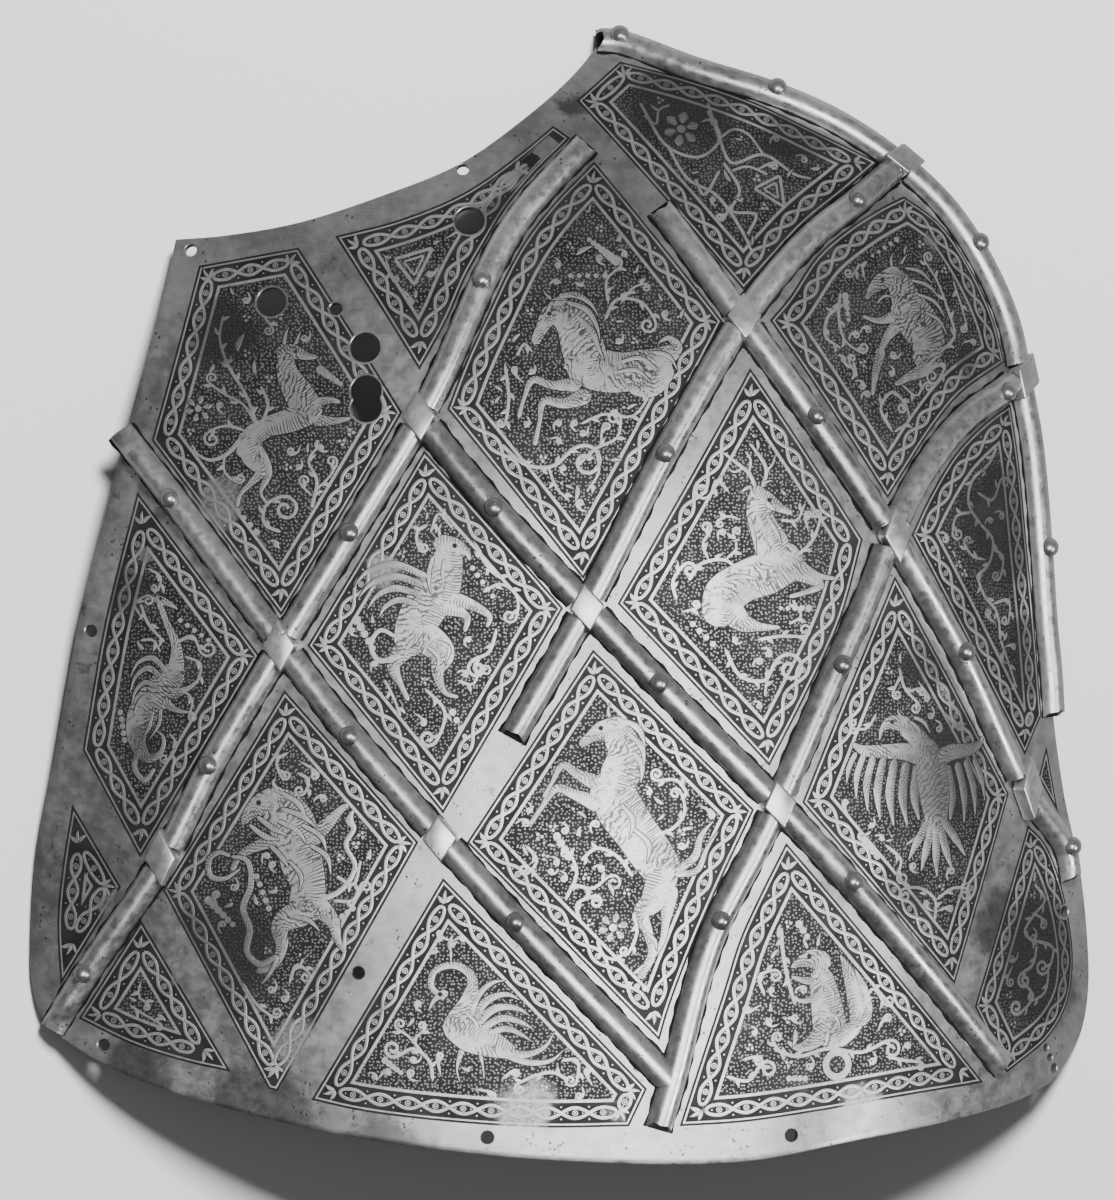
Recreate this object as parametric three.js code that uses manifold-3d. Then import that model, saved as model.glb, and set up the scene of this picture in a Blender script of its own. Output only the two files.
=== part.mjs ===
// A jousting targe: a domed steel shield plate with a riveted trellis of half-round bars.
// It lies face up on the floor as it would by itself, on three places of its rim.
// Millimetres. X is the plate's right and Y its top as seen from the front. Z is up.
import * as THREE from 'three';
import { mergeVertices } from 'three/addons/utils/BufferGeometryUtils.js';
import Module from 'manifold-3d';

const wasm = await Module();
wasm.setup();

// Plate
const WIDTH = 400;
const HEIGHT = 418;
const PLATE_THICKNESS = 2.6;

// How far the plate falls from its crest to each side
const RIGHT_DROP = 70;
const LEFT_DROP = 72;
const TOP_DROP = 69;
const BOTTOM_DROP = 3;

// Trellis of half-round bars raised from sheet
const BAR_WIDTH = 9.8;
const BAR_HEIGHT = 5.2;
const BAR_SHEET = 1.2;
const TAB_THICKNESS = 1.6;
const TAB_LENGTH = 7;
const TAB_SHOULDER = 2;

// Lozenge bosses where bars cross
const BOSS_OVERSIZE = 0.3;
const BOSS_RISE = 0.8;
const BOSS_BEVEL = 0.7;

// Domed rivets
const RIVET_HEAD_DIAMETER = 7.2;
const RIVET_HEAD_HEIGHT = 3.2;
const RIVET_SHANK_DIAMETER = 3.2;
const RIVET_TAIL_DIAMETER = 5;
const RIVET_TAIL_HEIGHT = 1;

// Holes
const BOLT_HOLE_DIAMETER = 11.4;
const KEYHOLE_DIAMETER = 11.6;
const PIN_HOLE_DIAMETER = 4.7;
const LACE_HOLE_DIAMETER = 4.6;
const TORN_SLOT_WIDTH = 3.4;
const SEAT_DIAMETER = 21;
const SEAT_DEPTH = 0.25;

// Space left between pieces, and on the plate, where it also takes up the dome's facets
const GAP = 0.3;
const PLATE_GAP = 0.4;

// Where the crest lies, and how sharply each side curves down from it
const CREST = { x: 0.15, y: -0.02 };
const FALL_POWER = { right: 2, left: 2, top: 2.6, bottom: 3 };

// The rim, as shares of width and height from the plate's middle: x, y
const NECK_EDGE = [
  [-0.368, 0.308], [-0.327, 0.311], [-0.261, 0.322], [-0.184, 0.346],
  [-0.111, 0.375], [-0.053, 0.413], [-0.002, 0.454], [0.041, 0.5],
];
const RIGHT_EDGE = [
  [0.041, 0.5], [0.117, 0.467], [0.194, 0.443], [0.247, 0.419], [0.288, 0.394],
  [0.35, 0.341], [0.378, 0.306], [0.415, 0.229], [0.435, 0.133], [0.447, 0.03],
  [0.454, -0.1], [0.469, -0.185], [0.489, -0.255], [0.499, -0.323], [0.5, -0.364],
  [0.492, -0.4], [0.475, -0.426], [0.455, -0.444],
];
const LOWER_EDGE = [
  [-0.473, -0.398], [-0.435, -0.42], [-0.383, -0.44], [-0.264, -0.47], [-0.134, -0.49],
  [0.004, -0.5], [0.137, -0.5], [0.245, -0.484], [0.339, -0.471], [0.421, -0.456],
  [0.455, -0.444],
];
const LEFT_EDGE = [
  [-0.473, -0.398], [-0.49, -0.379], [-0.499, -0.349], [-0.5, -0.314], [-0.495, -0.233],
  [-0.48, -0.152], [-0.464, -0.061], [-0.457, -0.024], [-0.432, 0.077], [-0.408, 0.165], [-0.382, 0.255],
  [-0.368, 0.308],
];

// The three places of the rim that meet the floor
const FEET = [LEFT_EDGE[2], RIGHT_EDGE[14], NECK_EDGE[7]];

// Where bars cross: x, y, and the slope in degrees of a crossing bar that is lost
const CROSSINGS = {
  shoulder: [-0.155, 0.15],
  hip: [-0.278, -0.049],
  low: [-0.381, -0.236, -57],
  high: [0.139, 0.237],
  heart: [-0.007, -0.014],
  flank: [0.277, 0.049],
  belt: [0.168, -0.186],
  foot: [-0.137, -0.216, 57],
  step: [0.418, -0.177, 64],
  edge_high: [0.302, 0.377],
  edge_flank: [0.416, 0.188],
};

// Middle lines of the bars: x, y and what sits there, or the name of a crossing
const RIVET = 'rivet';
const BARS = [
  {
    name: 'left_rising',
    route: [
      [0.007, 0.393], [-0.043, 0.345], [-0.068, 0.315], [-0.096, 0.268, RIVET],
      [-0.133, 0.191], 'shoulder', [-0.217, 0.05, RIVET], 'hip',
      [-0.34, -0.154, RIVET], 'low', [-0.449, -0.339, RIVET], [-0.48, -0.39],
    ],
    tabs: ['end'],
  },
  {
    name: 'middle_rising',
    route: [
      'edge_high', [0.251, 0.34, RIVET], [0.218, 0.318], [0.19, 0.294], [0.164, 0.267],
      'high', [0.064, 0.119, RIVET], 'heart', [-0.074, -0.129],
    ],
    tabs: [],
  },
  {
    name: 'right_rising',
    route: [
      'edge_flank', [0.393, 0.174, RIVET], [0.363, 0.157], [0.337, 0.136], [0.316, 0.112],
      [0.299, 0.089], 'flank', [0.253, -0.007], [0.225, -0.064, RIVET], 'belt',
      [0.148, -0.226], [0.115, -0.287, RIVET], [0.098, -0.332], [0.073, -0.428], [0.06, -0.471],
    ],
    tabs: [],
  },
  {
    name: 'lower_falling',
    route: [
      [-0.42, 0.138], [-0.374, 0.079, RIVET], 'hip', [-0.217, -0.127, RIVET], 'foot',
      [-0.07, -0.288, RIVET], [0.075, -0.433],
    ],
    tabs: ['start'],
  },
  {
    name: 'main_falling',
    route: [
      'shoulder', [-0.09, 0.072, RIVET], 'heart', [0.058, -0.08, RIVET], 'belt',
      [0.236, -0.254, RIVET], [0.318, -0.34], [0.399, -0.427],
    ],
    tabs: [],
  },
  {
    name: 'upper_falling',
    route: [
      [0.068, 0.336], 'high', [0.202, 0.152, RIVET], 'flank', [0.347, -0.054, RIVET],
      'step', [0.465, -0.231, RIVET], [0.474, -0.263],
    ],
    tabs: [],
  },
  {
    name: 'edge',
    route: [
      [0.025, 0.486], [0.046, 0.4845, RIVET], [0.114, 0.46], [0.186, 0.438, RIVET],
      [0.245, 0.413], 'edge_high', [0.344, 0.341], [0.372, 0.305, RIVET], [0.396, 0.262],
      [0.409, 0.227], 'edge_flank', [0.427, 0.132], [0.437, 0.037, RIVET], [0.443, -0.03],
      [0.449, -0.077], [0.452, -0.115],
    ],
    tabs: [],
  },
];

// Holes for the bolts, the pin and the laces: x, y
const BOLT_HOLES = [[-0.285, 0.252], [-0.203, 0.212], [-0.105, 0.324]];
const KEYHOLE = [[-0.203, 0.174], [-0.203, 0.16]];
const PIN_HOLE = [-0.228, 0.246];
const LACE_HOLES = [
  [-0.108, 0.37], [-0.355, 0.298], [-0.447, -0.038], [-0.435, -0.403], [-0.21, -0.335],
  [-0.094, -0.478], [0.184, -0.477], [0.47, -0.291],
];
const TORN_SLOT = [[0.449, -0.412], [0.454, -0.421], [0.459, -0.431]];

// How finely the shapes are cut into facets
const PLATE_STEPS = 23;
const BAR_STEP = 25;
const ARC_STEPS = 4;
const RIVET_SIDES = 7;
const HOLE_SIDES = 12;
const SMALL_HOLE_SIDES = 8;
const RIVET_HOLE_SIDES = 6;
const CUTTER_REACH = 12;

function planPoint([xShare, yShare]) {
  return new THREE.Vector2(xShare * WIDTH, yShare * HEIGHT);
}

// How far a place lies from the crest towards one side, from 0 at the crest to 1 at the rim
function sideShare(distance, reach) {
  return Math.max(0, distance / reach);
}

function fallFromCrest(point) {
  const across = point.x / WIDTH - CREST.x;
  const along = point.y / HEIGHT - CREST.y;
  const right = sideShare(across, 0.5 - CREST.x);
  const left = sideShare(-across, 0.5 + CREST.x);
  const top = sideShare(along, 0.5 - CREST.y);
  const bottom = sideShare(-along, 0.5 + CREST.y);
  return RIGHT_DROP * right ** FALL_POWER.right
    + LEFT_DROP * left ** FALL_POWER.left
    + TOP_DROP * top ** FALL_POWER.top
    + BOTTOM_DROP * bottom ** FALL_POWER.bottom;
}

// The plane z = a x + b y + c that the plate stands on
const floorPlane = { a: 0, b: 0, c: 0 };

function surfaceHeight(point) {
  return -fallFromCrest(point) - floorPlane.a * point.x - floorPlane.b * point.y - floorPlane.c;
}

function surfacePoint(point) {
  return new THREE.Vector3(point.x, point.y, surfaceHeight(point));
}

function surfaceNormal(point) {
  const reach = WIDTH * 1e-4;
  const right = surfaceHeight(new THREE.Vector2(point.x + reach, point.y));
  const left = surfaceHeight(new THREE.Vector2(point.x - reach, point.y));
  const up = surfaceHeight(new THREE.Vector2(point.x, point.y + reach));
  const down = surfaceHeight(new THREE.Vector2(point.x, point.y - reach));
  return new THREE.Vector3(left - right, down - up, 2 * reach).normalize();
}

function pointAbove(point, height) {
  return surfacePoint(point).addScaledVector(surfaceNormal(point), height);
}

// Turns the dome until the inner rim stands on the floor at its three feet
function standOnFeet() {
  const settlingRounds = 8;
  for (let round = 0; round < settlingRounds; round += 1) {
    const feet = FEET.map((foot) => pointAbove(planPoint(foot), -PLATE_THICKNESS));
    const plane = new THREE.Plane().setFromCoplanarPoints(...feet);
    floorPlane.a -= plane.normal.x / plane.normal.z;
    floorPlane.b -= plane.normal.y / plane.normal.z;
    floorPlane.c -= plane.constant / plane.normal.z;
  }
}

function planCurve(rows) {
  const points = rows.map((row) => planPoint(row));
  return new THREE.CatmullRomCurve3(points.map((point) => new THREE.Vector3(point.x, point.y, 0)));
}

function closedGeometry(vertices, triangles) {
  const geometry = new THREE.BufferGeometry();
  const numbers = vertices.flatMap((vertex) => vertex.toArray());
  geometry.setAttribute('position', new THREE.Float32BufferAttribute(numbers, 3));
  geometry.setIndex(triangles);
  return geometry;
}

function toSolid(geometry) {
  const bare = geometry.clone();
  bare.deleteAttribute('normal');
  bare.deleteAttribute('uv');
  const merged = mergeVertices(bare, 1e-4);
  return new wasm.Manifold(new wasm.Mesh({
    numProp: 3,
    vertProperties: new Float32Array(merged.attributes.position.array),
    triVerts: new Uint32Array(merged.index.array),
  }));
}

function toGeometry(solid) {
  const mesh = solid.getMesh();
  const geometry = new THREE.BufferGeometry();
  geometry.setAttribute('position', new THREE.BufferAttribute(mesh.vertProperties, 3));
  geometry.setIndex(new THREE.BufferAttribute(mesh.triVerts, 1));
  geometry.computeVertexNormals();
  return geometry;
}

// The two triangles that close a ring of four points
const SQUARE_CAP = [[0, 1, 2], [0, 2, 3]];

// Skins a row of rings that all have the same number of points, and closes both ends
function loftRings(rings, capTriangles) {
  const size = rings[0].length;
  const triangles = [];
  for (let ring = 0; ring + 1 < rings.length; ring += 1) {
    for (let place = 0; place < size; place += 1) {
      const next = (place + 1) % size;
      const a = ring * size + place;
      const b = ring * size + next;
      const c = a + size;
      const d = b + size;
      triangles.push(a, b, c, b, d, c);
    }
  }
  const last = (rings.length - 1) * size;
  for (const [a, b, c] of capTriangles) {
    triangles.push(a, c, b);
    triangles.push(last + a, last + b, last + c);
  }
  return closedGeometry(rings.flat(), triangles);
}

// A point of the plate's plan, blended from its four edges
function blendEdges(edges, across, along) {
  const lower = edges.lower.getPointAt(across);
  const neck = edges.neck.getPointAt(across);
  const left = edges.left.getPointAt(along);
  const right = edges.right.getPointAt(1 - along);
  const blended = new THREE.Vector3();
  blended.addScaledVector(lower, 1 - along);
  blended.addScaledVector(neck, along);
  blended.addScaledVector(left, 1 - across);
  blended.addScaledVector(right, across);
  blended.addScaledVector(edges.lower.getPointAt(0), -(1 - across) * (1 - along));
  blended.addScaledVector(edges.lower.getPointAt(1), -across * (1 - along));
  blended.addScaledVector(edges.neck.getPointAt(0), -(1 - across) * along);
  blended.addScaledVector(edges.neck.getPointAt(1), -across * along);
  return new THREE.Vector2(blended.x, blended.y);
}

function plateShell() {
  const edges = {
    neck: planCurve(NECK_EDGE),
    right: planCurve(RIGHT_EDGE),
    lower: planCurve(LOWER_EDGE),
    left: planCurve(LEFT_EDGE),
  };
  const outer = [];
  const inner = [];
  for (let row = 0; row <= PLATE_STEPS; row += 1) {
    for (let column = 0; column <= PLATE_STEPS; column += 1) {
      const place = blendEdges(edges, column / PLATE_STEPS, row / PLATE_STEPS);
      outer.push(pointAbove(place, 0));
      inner.push(pointAbove(place, -PLATE_THICKNESS));
    }
  }
  const triangles = [];
  const rowSize = PLATE_STEPS + 1;
  const innerStart = outer.length;
  for (let row = 0; row < PLATE_STEPS; row += 1) {
    for (let column = 0; column < PLATE_STEPS; column += 1) {
      const a = row * rowSize + column;
      const b = a + 1;
      const c = a + rowSize;
      const d = c + 1;
      triangles.push(a, b, d, a, d, c);
      triangles.push(innerStart + a, innerStart + d, innerStart + b);
      triangles.push(innerStart + a, innerStart + c, innerStart + d);
    }
  }
  for (const [from, to] of rimSides(rowSize)) {
    triangles.push(from, innerStart + from, innerStart + to);
    triangles.push(from, innerStart + to, to);
  }
  return closedGeometry([...outer, ...inner], triangles);
}

// The sides of the grid's outline in turn, anticlockwise from the lower left corner
function rimSides(rowSize) {
  const corner = rowSize - 1;
  const outline = [];
  for (let step = 0; step < corner; step += 1) outline.push(step);
  for (let step = 0; step < corner; step += 1) outline.push(step * rowSize + corner);
  for (let step = corner; step > 0; step -= 1) outline.push(corner * rowSize + step);
  for (let step = corner; step > 0; step -= 1) outline.push(step * rowSize);
  return outline.map((from, place) => [from, outline[(place + 1) % outline.length]]);
}

// A round cutter that stands on the surface along its normal, from one height to another
function roundCutter(point, diameter, bottom, top, sides) {
  const cylinder = new THREE.CylinderGeometry(diameter / 2, diameter / 2, top - bottom, sides);
  cylinder.translate(0, (top + bottom) / 2, 0);
  placeOnSurface(cylinder, point);
  return toSolid(cylinder);
}

// Stands a shape made along Y on the surface, along its normal
function placeOnSurface(geometry, point) {
  const turn = new THREE.Quaternion();
  turn.setFromUnitVectors(new THREE.Vector3(0, 1, 0), surfaceNormal(point));
  geometry.applyQuaternion(turn);
  geometry.translate(...surfacePoint(point).toArray());
}

function throughHole(point, diameter, sides) {
  return roundCutter(point, diameter, -CUTTER_REACH, CUTTER_REACH, sides);
}

// A six-sided hole whose flats keep the gap to the shank
function rivetHole(point) {
  const acrossFlats = RIVET_SHANK_DIAMETER + 2 * GAP;
  return throughHole(point, acrossFlats / Math.cos(Math.PI / RIVET_HOLE_SIDES), RIVET_HOLE_SIDES);
}

// Flat faces on the front and the back round a bolt hole
function boltSeats(point) {
  const front = roundCutter(point, SEAT_DIAMETER, -SEAT_DEPTH, CUTTER_REACH, HOLE_SIDES);
  const back = roundCutter(
    point, SEAT_DIAMETER, -CUTTER_REACH, SEAT_DEPTH - PLATE_THICKNESS, HOLE_SIDES,
  );
  return [front, back];
}

function buildPlate(rivetPoints) {
  const cutters = [];
  for (const place of BOLT_HOLES) {
    cutters.push(throughHole(planPoint(place), BOLT_HOLE_DIAMETER, HOLE_SIDES));
    cutters.push(...boltSeats(planPoint(place)));
  }
  for (const place of KEYHOLE) {
    cutters.push(throughHole(planPoint(place), KEYHOLE_DIAMETER, HOLE_SIDES));
  }
  for (const place of TORN_SLOT) {
    cutters.push(throughHole(planPoint(place), TORN_SLOT_WIDTH, SMALL_HOLE_SIDES));
  }
  for (const place of LACE_HOLES) {
    cutters.push(throughHole(planPoint(place), LACE_HOLE_DIAMETER, SMALL_HOLE_SIDES));
  }
  cutters.push(throughHole(planPoint(PIN_HOLE), PIN_HOLE_DIAMETER, SMALL_HOLE_SIDES));
  for (const point of rivetPoints) {
    cutters.push(rivetHole(point));
  }
  let plate = toSolid(plateShell());
  for (const cutter of cutters) {
    plate = plate.subtract(cutter);
  }
  return toGeometry(plate);
}

// The rows of a bar's route, each with its place and what sits there
function readRoute(route) {
  return route.map((row) => {
    if (typeof row === 'string') {
      return { place: CROSSINGS[row], crossing: row };
    }
    return { place: row, rivet: row[2] === RIVET };
  });
}

// The surface frame of a bar at one place of its middle line
function barFrame(curve, share) {
  const middle = curve.getPoint(share);
  const tangent = curve.getTangent(share);
  const point = new THREE.Vector2(middle.x, middle.y);
  const normal = surfaceNormal(point);
  const side = new THREE.Vector3().crossVectors(tangent, normal).normalize();
  return { point, normal, side };
}

// A point of a bar's section, off to one side of the middle line and above the plate
function sectionPoint(frame, offset, height) {
  const foot = new THREE.Vector2(
    frame.point.x + frame.side.x * offset,
    frame.point.y + frame.side.y * offset,
  );
  return surfacePoint(foot).addScaledVector(frame.normal, height);
}

// Half-round section: the outer arch, then the inner arch back again
function hollowSection(frame, height) {
  const ring = [];
  for (let step = 0; step <= ARC_STEPS; step += 1) {
    const angle = (Math.PI * step) / ARC_STEPS;
    const offset = -Math.cos(angle) * BAR_WIDTH / 2;
    ring.push(sectionPoint(frame, offset, PLATE_GAP + Math.sin(angle) * height));
  }
  for (let step = ARC_STEPS; step >= 0; step -= 1) {
    const angle = (Math.PI * step) / ARC_STEPS;
    const offset = -Math.cos(angle) * (BAR_WIDTH / 2 - BAR_SHEET);
    ring.push(sectionPoint(frame, offset, PLATE_GAP + Math.sin(angle) * (height - BAR_SHEET)));
  }
  return ring;
}

// A block round the space that a bar takes up, with the gap on both sides
function roomSection(frame) {
  const reach = BAR_WIDTH / 2 + 2 * GAP;
  return [
    sectionPoint(frame, -reach, 0),
    sectionPoint(frame, -reach, 2 * BAR_HEIGHT),
    sectionPoint(frame, reach, 2 * BAR_HEIGHT),
    sectionPoint(frame, reach, 0),
  ];
}

function hollowCap() {
  const cap = [];
  const last = 2 * ARC_STEPS + 1;
  for (let step = 0; step < ARC_STEPS; step += 1) {
    cap.push([step, step + 1, last - step], [step + 1, last - step - 1, last - step]);
  }
  return cap;
}

// Shares of a route between two of its rows, close enough for its bends
function stationShares(curve, rows, from, to) {
  const shares = [];
  for (let row = from; row < to; row += 1) {
    const start = curve.getPoint(row / (rows - 1));
    const end = curve.getPoint((row + 1) / (rows - 1));
    const steps = Math.ceil(start.distanceTo(end) / BAR_STEP);
    for (let step = 0; step < steps; step += 1) {
      shares.push((row + step / steps) / (rows - 1));
    }
  }
  shares.push(to / (rows - 1));
  return shares;
}

// The height of the section, which drops where the bar's end is beaten flat
function tabbedStations(curve, shares, tabs) {
  const stations = shares.map((share) => ({ share, height: BAR_HEIGHT }));
  if (tabs.includes('start')) {
    stations.shift();
    stations.unshift(...tabStations(curve, shares[0], shares[1]));
  }
  if (tabs.includes('end')) {
    stations.pop();
    stations.push(...tabStations(curve, shares.at(-1), shares.at(-2)).reverse());
  }
  return stations;
}

// Three stations from a bar's flat tip to where the full section begins
function tabStations(curve, tip, neighbour) {
  const length = curve.getPoint(tip).distanceTo(curve.getPoint(neighbour));
  const sharePerLength = (neighbour - tip) / length;
  return [
    { share: tip, height: TAB_THICKNESS },
    { share: tip + TAB_LENGTH * sharePerLength, height: TAB_THICKNESS },
    { share: tip + (TAB_LENGTH + TAB_SHOULDER) * sharePerLength, height: BAR_HEIGHT },
  ];
}

// Both bar directions at a crossing, and its surface frame
function crossingFrame(name) {
  const point = planPoint(CROSSINGS[name]);
  const normal = surfaceNormal(point);
  const directions = [];
  for (const bar of BARS) {
    const row = bar.route.indexOf(name);
    if (row >= 0) {
      const tangent = planCurve(readRoute(bar.route).map((entry) => entry.place))
        .getTangent(row / (bar.route.length - 1));
      directions.push(tangent.projectOnPlane(normal).normalize());
    }
  }
  const lostSlope = CROSSINGS[name][2];
  if (lostSlope !== undefined) {
    const angle = THREE.MathUtils.degToRad(lostSlope);
    const lost = new THREE.Vector3(Math.cos(angle), Math.sin(angle), 0);
    directions.push(lost.projectOnPlane(normal).normalize());
  }
  return { point, normal, directions };
}

// A block over a crossing whose sides run along both bars
function lozenge(frame, width, bottom, bevelStart, top, bevel) {
  const [first, second] = frame.directions;
  const sine = new THREE.Vector3().crossVectors(first, second).length();
  const levels = [[bottom, 0], [bevelStart, 0], [top, bevel]];
  const rings = levels.map(([height, inset]) => {
    const reach = (width / 2 - inset) / sine;
    const corners = [[1, 1], [-1, 1], [-1, -1], [1, -1]];
    const ring = corners.map(([alongFirst, alongSecond]) => {
      const corner = new THREE.Vector3();
      corner.addScaledVector(first, alongFirst * reach);
      corner.addScaledVector(second, alongSecond * reach);
      const foot = new THREE.Vector2(frame.point.x + corner.x, frame.point.y + corner.y);
      return surfacePoint(foot).addScaledVector(frame.normal, height);
    });
    const turning = new THREE.Vector3().crossVectors(first, second).dot(frame.normal);
    return turning > 0 ? ring : ring.reverse();
  });
  return loftRings(rings, SQUARE_CAP);
}

function bossGeometry(name) {
  const top = PLATE_GAP + BAR_HEIGHT + BOSS_RISE;
  const width = BAR_WIDTH + 2 * BOSS_OVERSIZE;
  return lozenge(crossingFrame(name), width, GAP, top - BOSS_BEVEL, top, BOSS_BEVEL);
}

function bossPocket(name) {
  const width = BAR_WIDTH + 2 * BOSS_OVERSIZE + 2 * GAP;
  const middle = BAR_HEIGHT / 2;
  return toSolid(lozenge(crossingFrame(name), width, -BAR_HEIGHT, middle, 3 * BAR_HEIGHT, 0));
}

function barSegments(bar) {
  const rows = readRoute(bar.route);
  const curve = planCurve(rows.map((row) => row.place));
  const stops = rows.flatMap((row, place) => (row.crossing ? [place] : []));
  const ends = [...new Set([0, ...stops, rows.length - 1])];
  return ends.slice(1).map((to, index) => {
    const from = ends[index];
    const tabs = bar.tabs.filter((tab) => (tab === 'start' ? from === 0 : to === rows.length - 1));
    const shares = stationShares(curve, rows.length, from, to);
    const rings = tabbedStations(curve, shares, tabs).map((station) => (
      hollowSection(barFrame(curve, station.share), station.height)
    ));
    let solid = toSolid(loftRings(rings, hollowCap()));
    for (const row of rows.slice(from, to + 1)) {
      if (row.crossing) solid = solid.subtract(bossPocket(row.crossing));
      if (row.rivet) solid = solid.subtract(rivetHole(planPoint(row.place)));
    }
    const room = shares.map((share) => roomSection(barFrame(curve, share)));
    return { name: `bar_${bar.name}_${index + 1}`, solid, room: loftRings(room, SQUARE_CAP) };
  });
}

function rivetGeometry(point) {
  const seat = PLATE_GAP + BAR_HEIGHT + GAP;
  const tailTop = -PLATE_THICKNESS - PLATE_GAP;
  const tailBottom = tailTop - RIVET_TAIL_HEIGHT;
  const profile = [
    new THREE.Vector2(0, tailBottom),
    new THREE.Vector2(RIVET_TAIL_DIAMETER / 2, tailBottom),
    new THREE.Vector2(RIVET_TAIL_DIAMETER / 2, tailTop),
    new THREE.Vector2(RIVET_SHANK_DIAMETER / 2, tailTop),
    new THREE.Vector2(RIVET_SHANK_DIAMETER / 2, seat),
  ];
  const domeSteps = 2;
  for (let step = 0; step <= domeSteps; step += 1) {
    const angle = (Math.PI / 2) * (step / domeSteps);
    const radius = Math.cos(angle) * RIVET_HEAD_DIAMETER / 2;
    const height = seat + Math.sin(angle) * RIVET_HEAD_HEIGHT;
    profile.push(new THREE.Vector2(step === domeSteps ? 0 : radius, height));
  }
  const rivet = new THREE.LatheGeometry(profile, RIVET_SIDES);
  placeOnSurface(rivet, point);
  return toGeometry(toSolid(rivet));
}

// Colours and finishes of the steel
const etchedSteel = { color: 0x6e6c68, roughness: 0.45, metalness: 0.9 };
const barSteel = { color: 0x8c8a85, roughness: 0.36, metalness: 1 };
const bossSteel = { color: 0x9a9892, roughness: 0.3, metalness: 1 };
const rivetSteel = { color: 0xa6a49e, roughness: 0.25, metalness: 1 };

function addPiece(group, name, geometry, finish) {
  const piece = new THREE.Mesh(geometry, new THREE.MeshStandardMaterial(finish));
  piece.name = name;
  group.add(piece);
}

function buildTarge() {
  standOnFeet();
  const group = new THREE.Group();
  const rivets = BARS.flatMap((bar) => (
    readRoute(bar.route).filter((row) => row.rivet)
      .map((row, index) => ({ name: `rivet_${bar.name}_${index + 1}`, point: planPoint(row.place) }))
  ));
  addPiece(group, 'plate', buildPlate(rivets.map((rivet) => rivet.point)), etchedSteel);

  const segments = BARS.flatMap((bar) => barSegments(bar));
  // One falling bar stops short against the bar that crosses its lower end
  const crossed = segments.find((segment) => segment.name === 'bar_right_rising_3');
  const stopping = segments.find((segment) => segment.name === 'bar_lower_falling_3');
  stopping.solid = stopping.solid.subtract(toSolid(crossed.room));
  for (const segment of segments) {
    addPiece(group, segment.name, toGeometry(segment.solid), barSteel);
  }
  for (const name of Object.keys(CROSSINGS)) {
    addPiece(group, `boss_${name}`, toGeometry(toSolid(bossGeometry(name))), bossSteel);
  }
  for (const rivet of rivets) {
    addPiece(group, rivet.name, rivetGeometry(rivet.point), rivetSteel);
  }

  // Brings the middle of the whole part over the origin and its lowest point to the floor
  const box = new THREE.Box3().setFromObject(group);
  const middle = box.getCenter(new THREE.Vector3());
  group.position.set(-middle.x, -middle.y, -box.min.z);
  return group;
}

export default buildTarge();
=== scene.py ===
"""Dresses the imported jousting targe: smooth domed plate, half-round bars and etched panels."""

import math
import random

import bmesh
import bpy
from bpy.props import FloatProperty, FloatVectorProperty, IntProperty, PointerProperty
from mathutils import Matrix, Vector


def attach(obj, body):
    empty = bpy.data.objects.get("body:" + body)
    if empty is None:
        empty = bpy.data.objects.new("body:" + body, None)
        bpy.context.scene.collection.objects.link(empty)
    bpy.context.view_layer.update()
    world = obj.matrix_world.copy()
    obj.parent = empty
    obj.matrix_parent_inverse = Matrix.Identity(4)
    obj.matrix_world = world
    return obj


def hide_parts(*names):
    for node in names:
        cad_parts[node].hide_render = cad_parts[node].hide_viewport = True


bl_info = {
    "name": "Jousting Targe",
    "version": (1, 0, 0),
    "blender": (4, 5, 0),
    "location": "3D View > Sidebar > Targe",
    "description": "Dresses a domed steel targe with its riveted trellis and its etched panels",
    "category": "Object",
}

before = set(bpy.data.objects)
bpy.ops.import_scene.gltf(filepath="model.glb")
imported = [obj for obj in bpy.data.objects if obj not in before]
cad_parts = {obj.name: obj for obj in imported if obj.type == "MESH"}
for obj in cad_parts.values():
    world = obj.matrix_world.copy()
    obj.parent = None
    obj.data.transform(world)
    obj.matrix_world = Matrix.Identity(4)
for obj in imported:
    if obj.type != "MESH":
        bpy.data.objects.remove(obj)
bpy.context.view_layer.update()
BODY = "root"
MM = 0.001

# Places below are shares of the plate's width and height, from its middle: x, y
NECK_EDGE = [
    (-0.368, 0.308), (-0.327, 0.311), (-0.261, 0.322), (-0.184, 0.346),
    (-0.111, 0.375), (-0.053, 0.413), (-0.002, 0.454), (0.041, 0.5),
]
RIGHT_EDGE = [
    (0.041, 0.5), (0.117, 0.467), (0.194, 0.443), (0.247, 0.419), (0.288, 0.394),
    (0.35, 0.341), (0.378, 0.306), (0.415, 0.229), (0.435, 0.133), (0.447, 0.03),
    (0.454, -0.1), (0.469, -0.185), (0.489, -0.255), (0.499, -0.323), (0.5, -0.364),
    (0.492, -0.4), (0.475, -0.426), (0.455, -0.444),
]
LOWER_EDGE = [
    (-0.473, -0.398), (-0.435, -0.42), (-0.383, -0.44), (-0.264, -0.47), (-0.134, -0.49),
    (0.004, -0.5), (0.137, -0.5), (0.245, -0.484), (0.339, -0.471), (0.421, -0.456),
    (0.455, -0.444),
]
LEFT_EDGE = [
    (-0.473, -0.398), (-0.49, -0.379), (-0.499, -0.349), (-0.5, -0.314), (-0.495, -0.233),
    (-0.48, -0.152), (-0.464, -0.061), (-0.457, -0.024), (-0.432, 0.077), (-0.408, 0.165),
    (-0.382, 0.255), (-0.368, 0.308),
]
FEET = [LEFT_EDGE[2], RIGHT_EDGE[14], NECK_EDGE[7]]
CREST = (0.15, -0.02)
FALL_POWER = {"right": 2, "left": 2, "top": 2.6, "bottom": 3}

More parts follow.
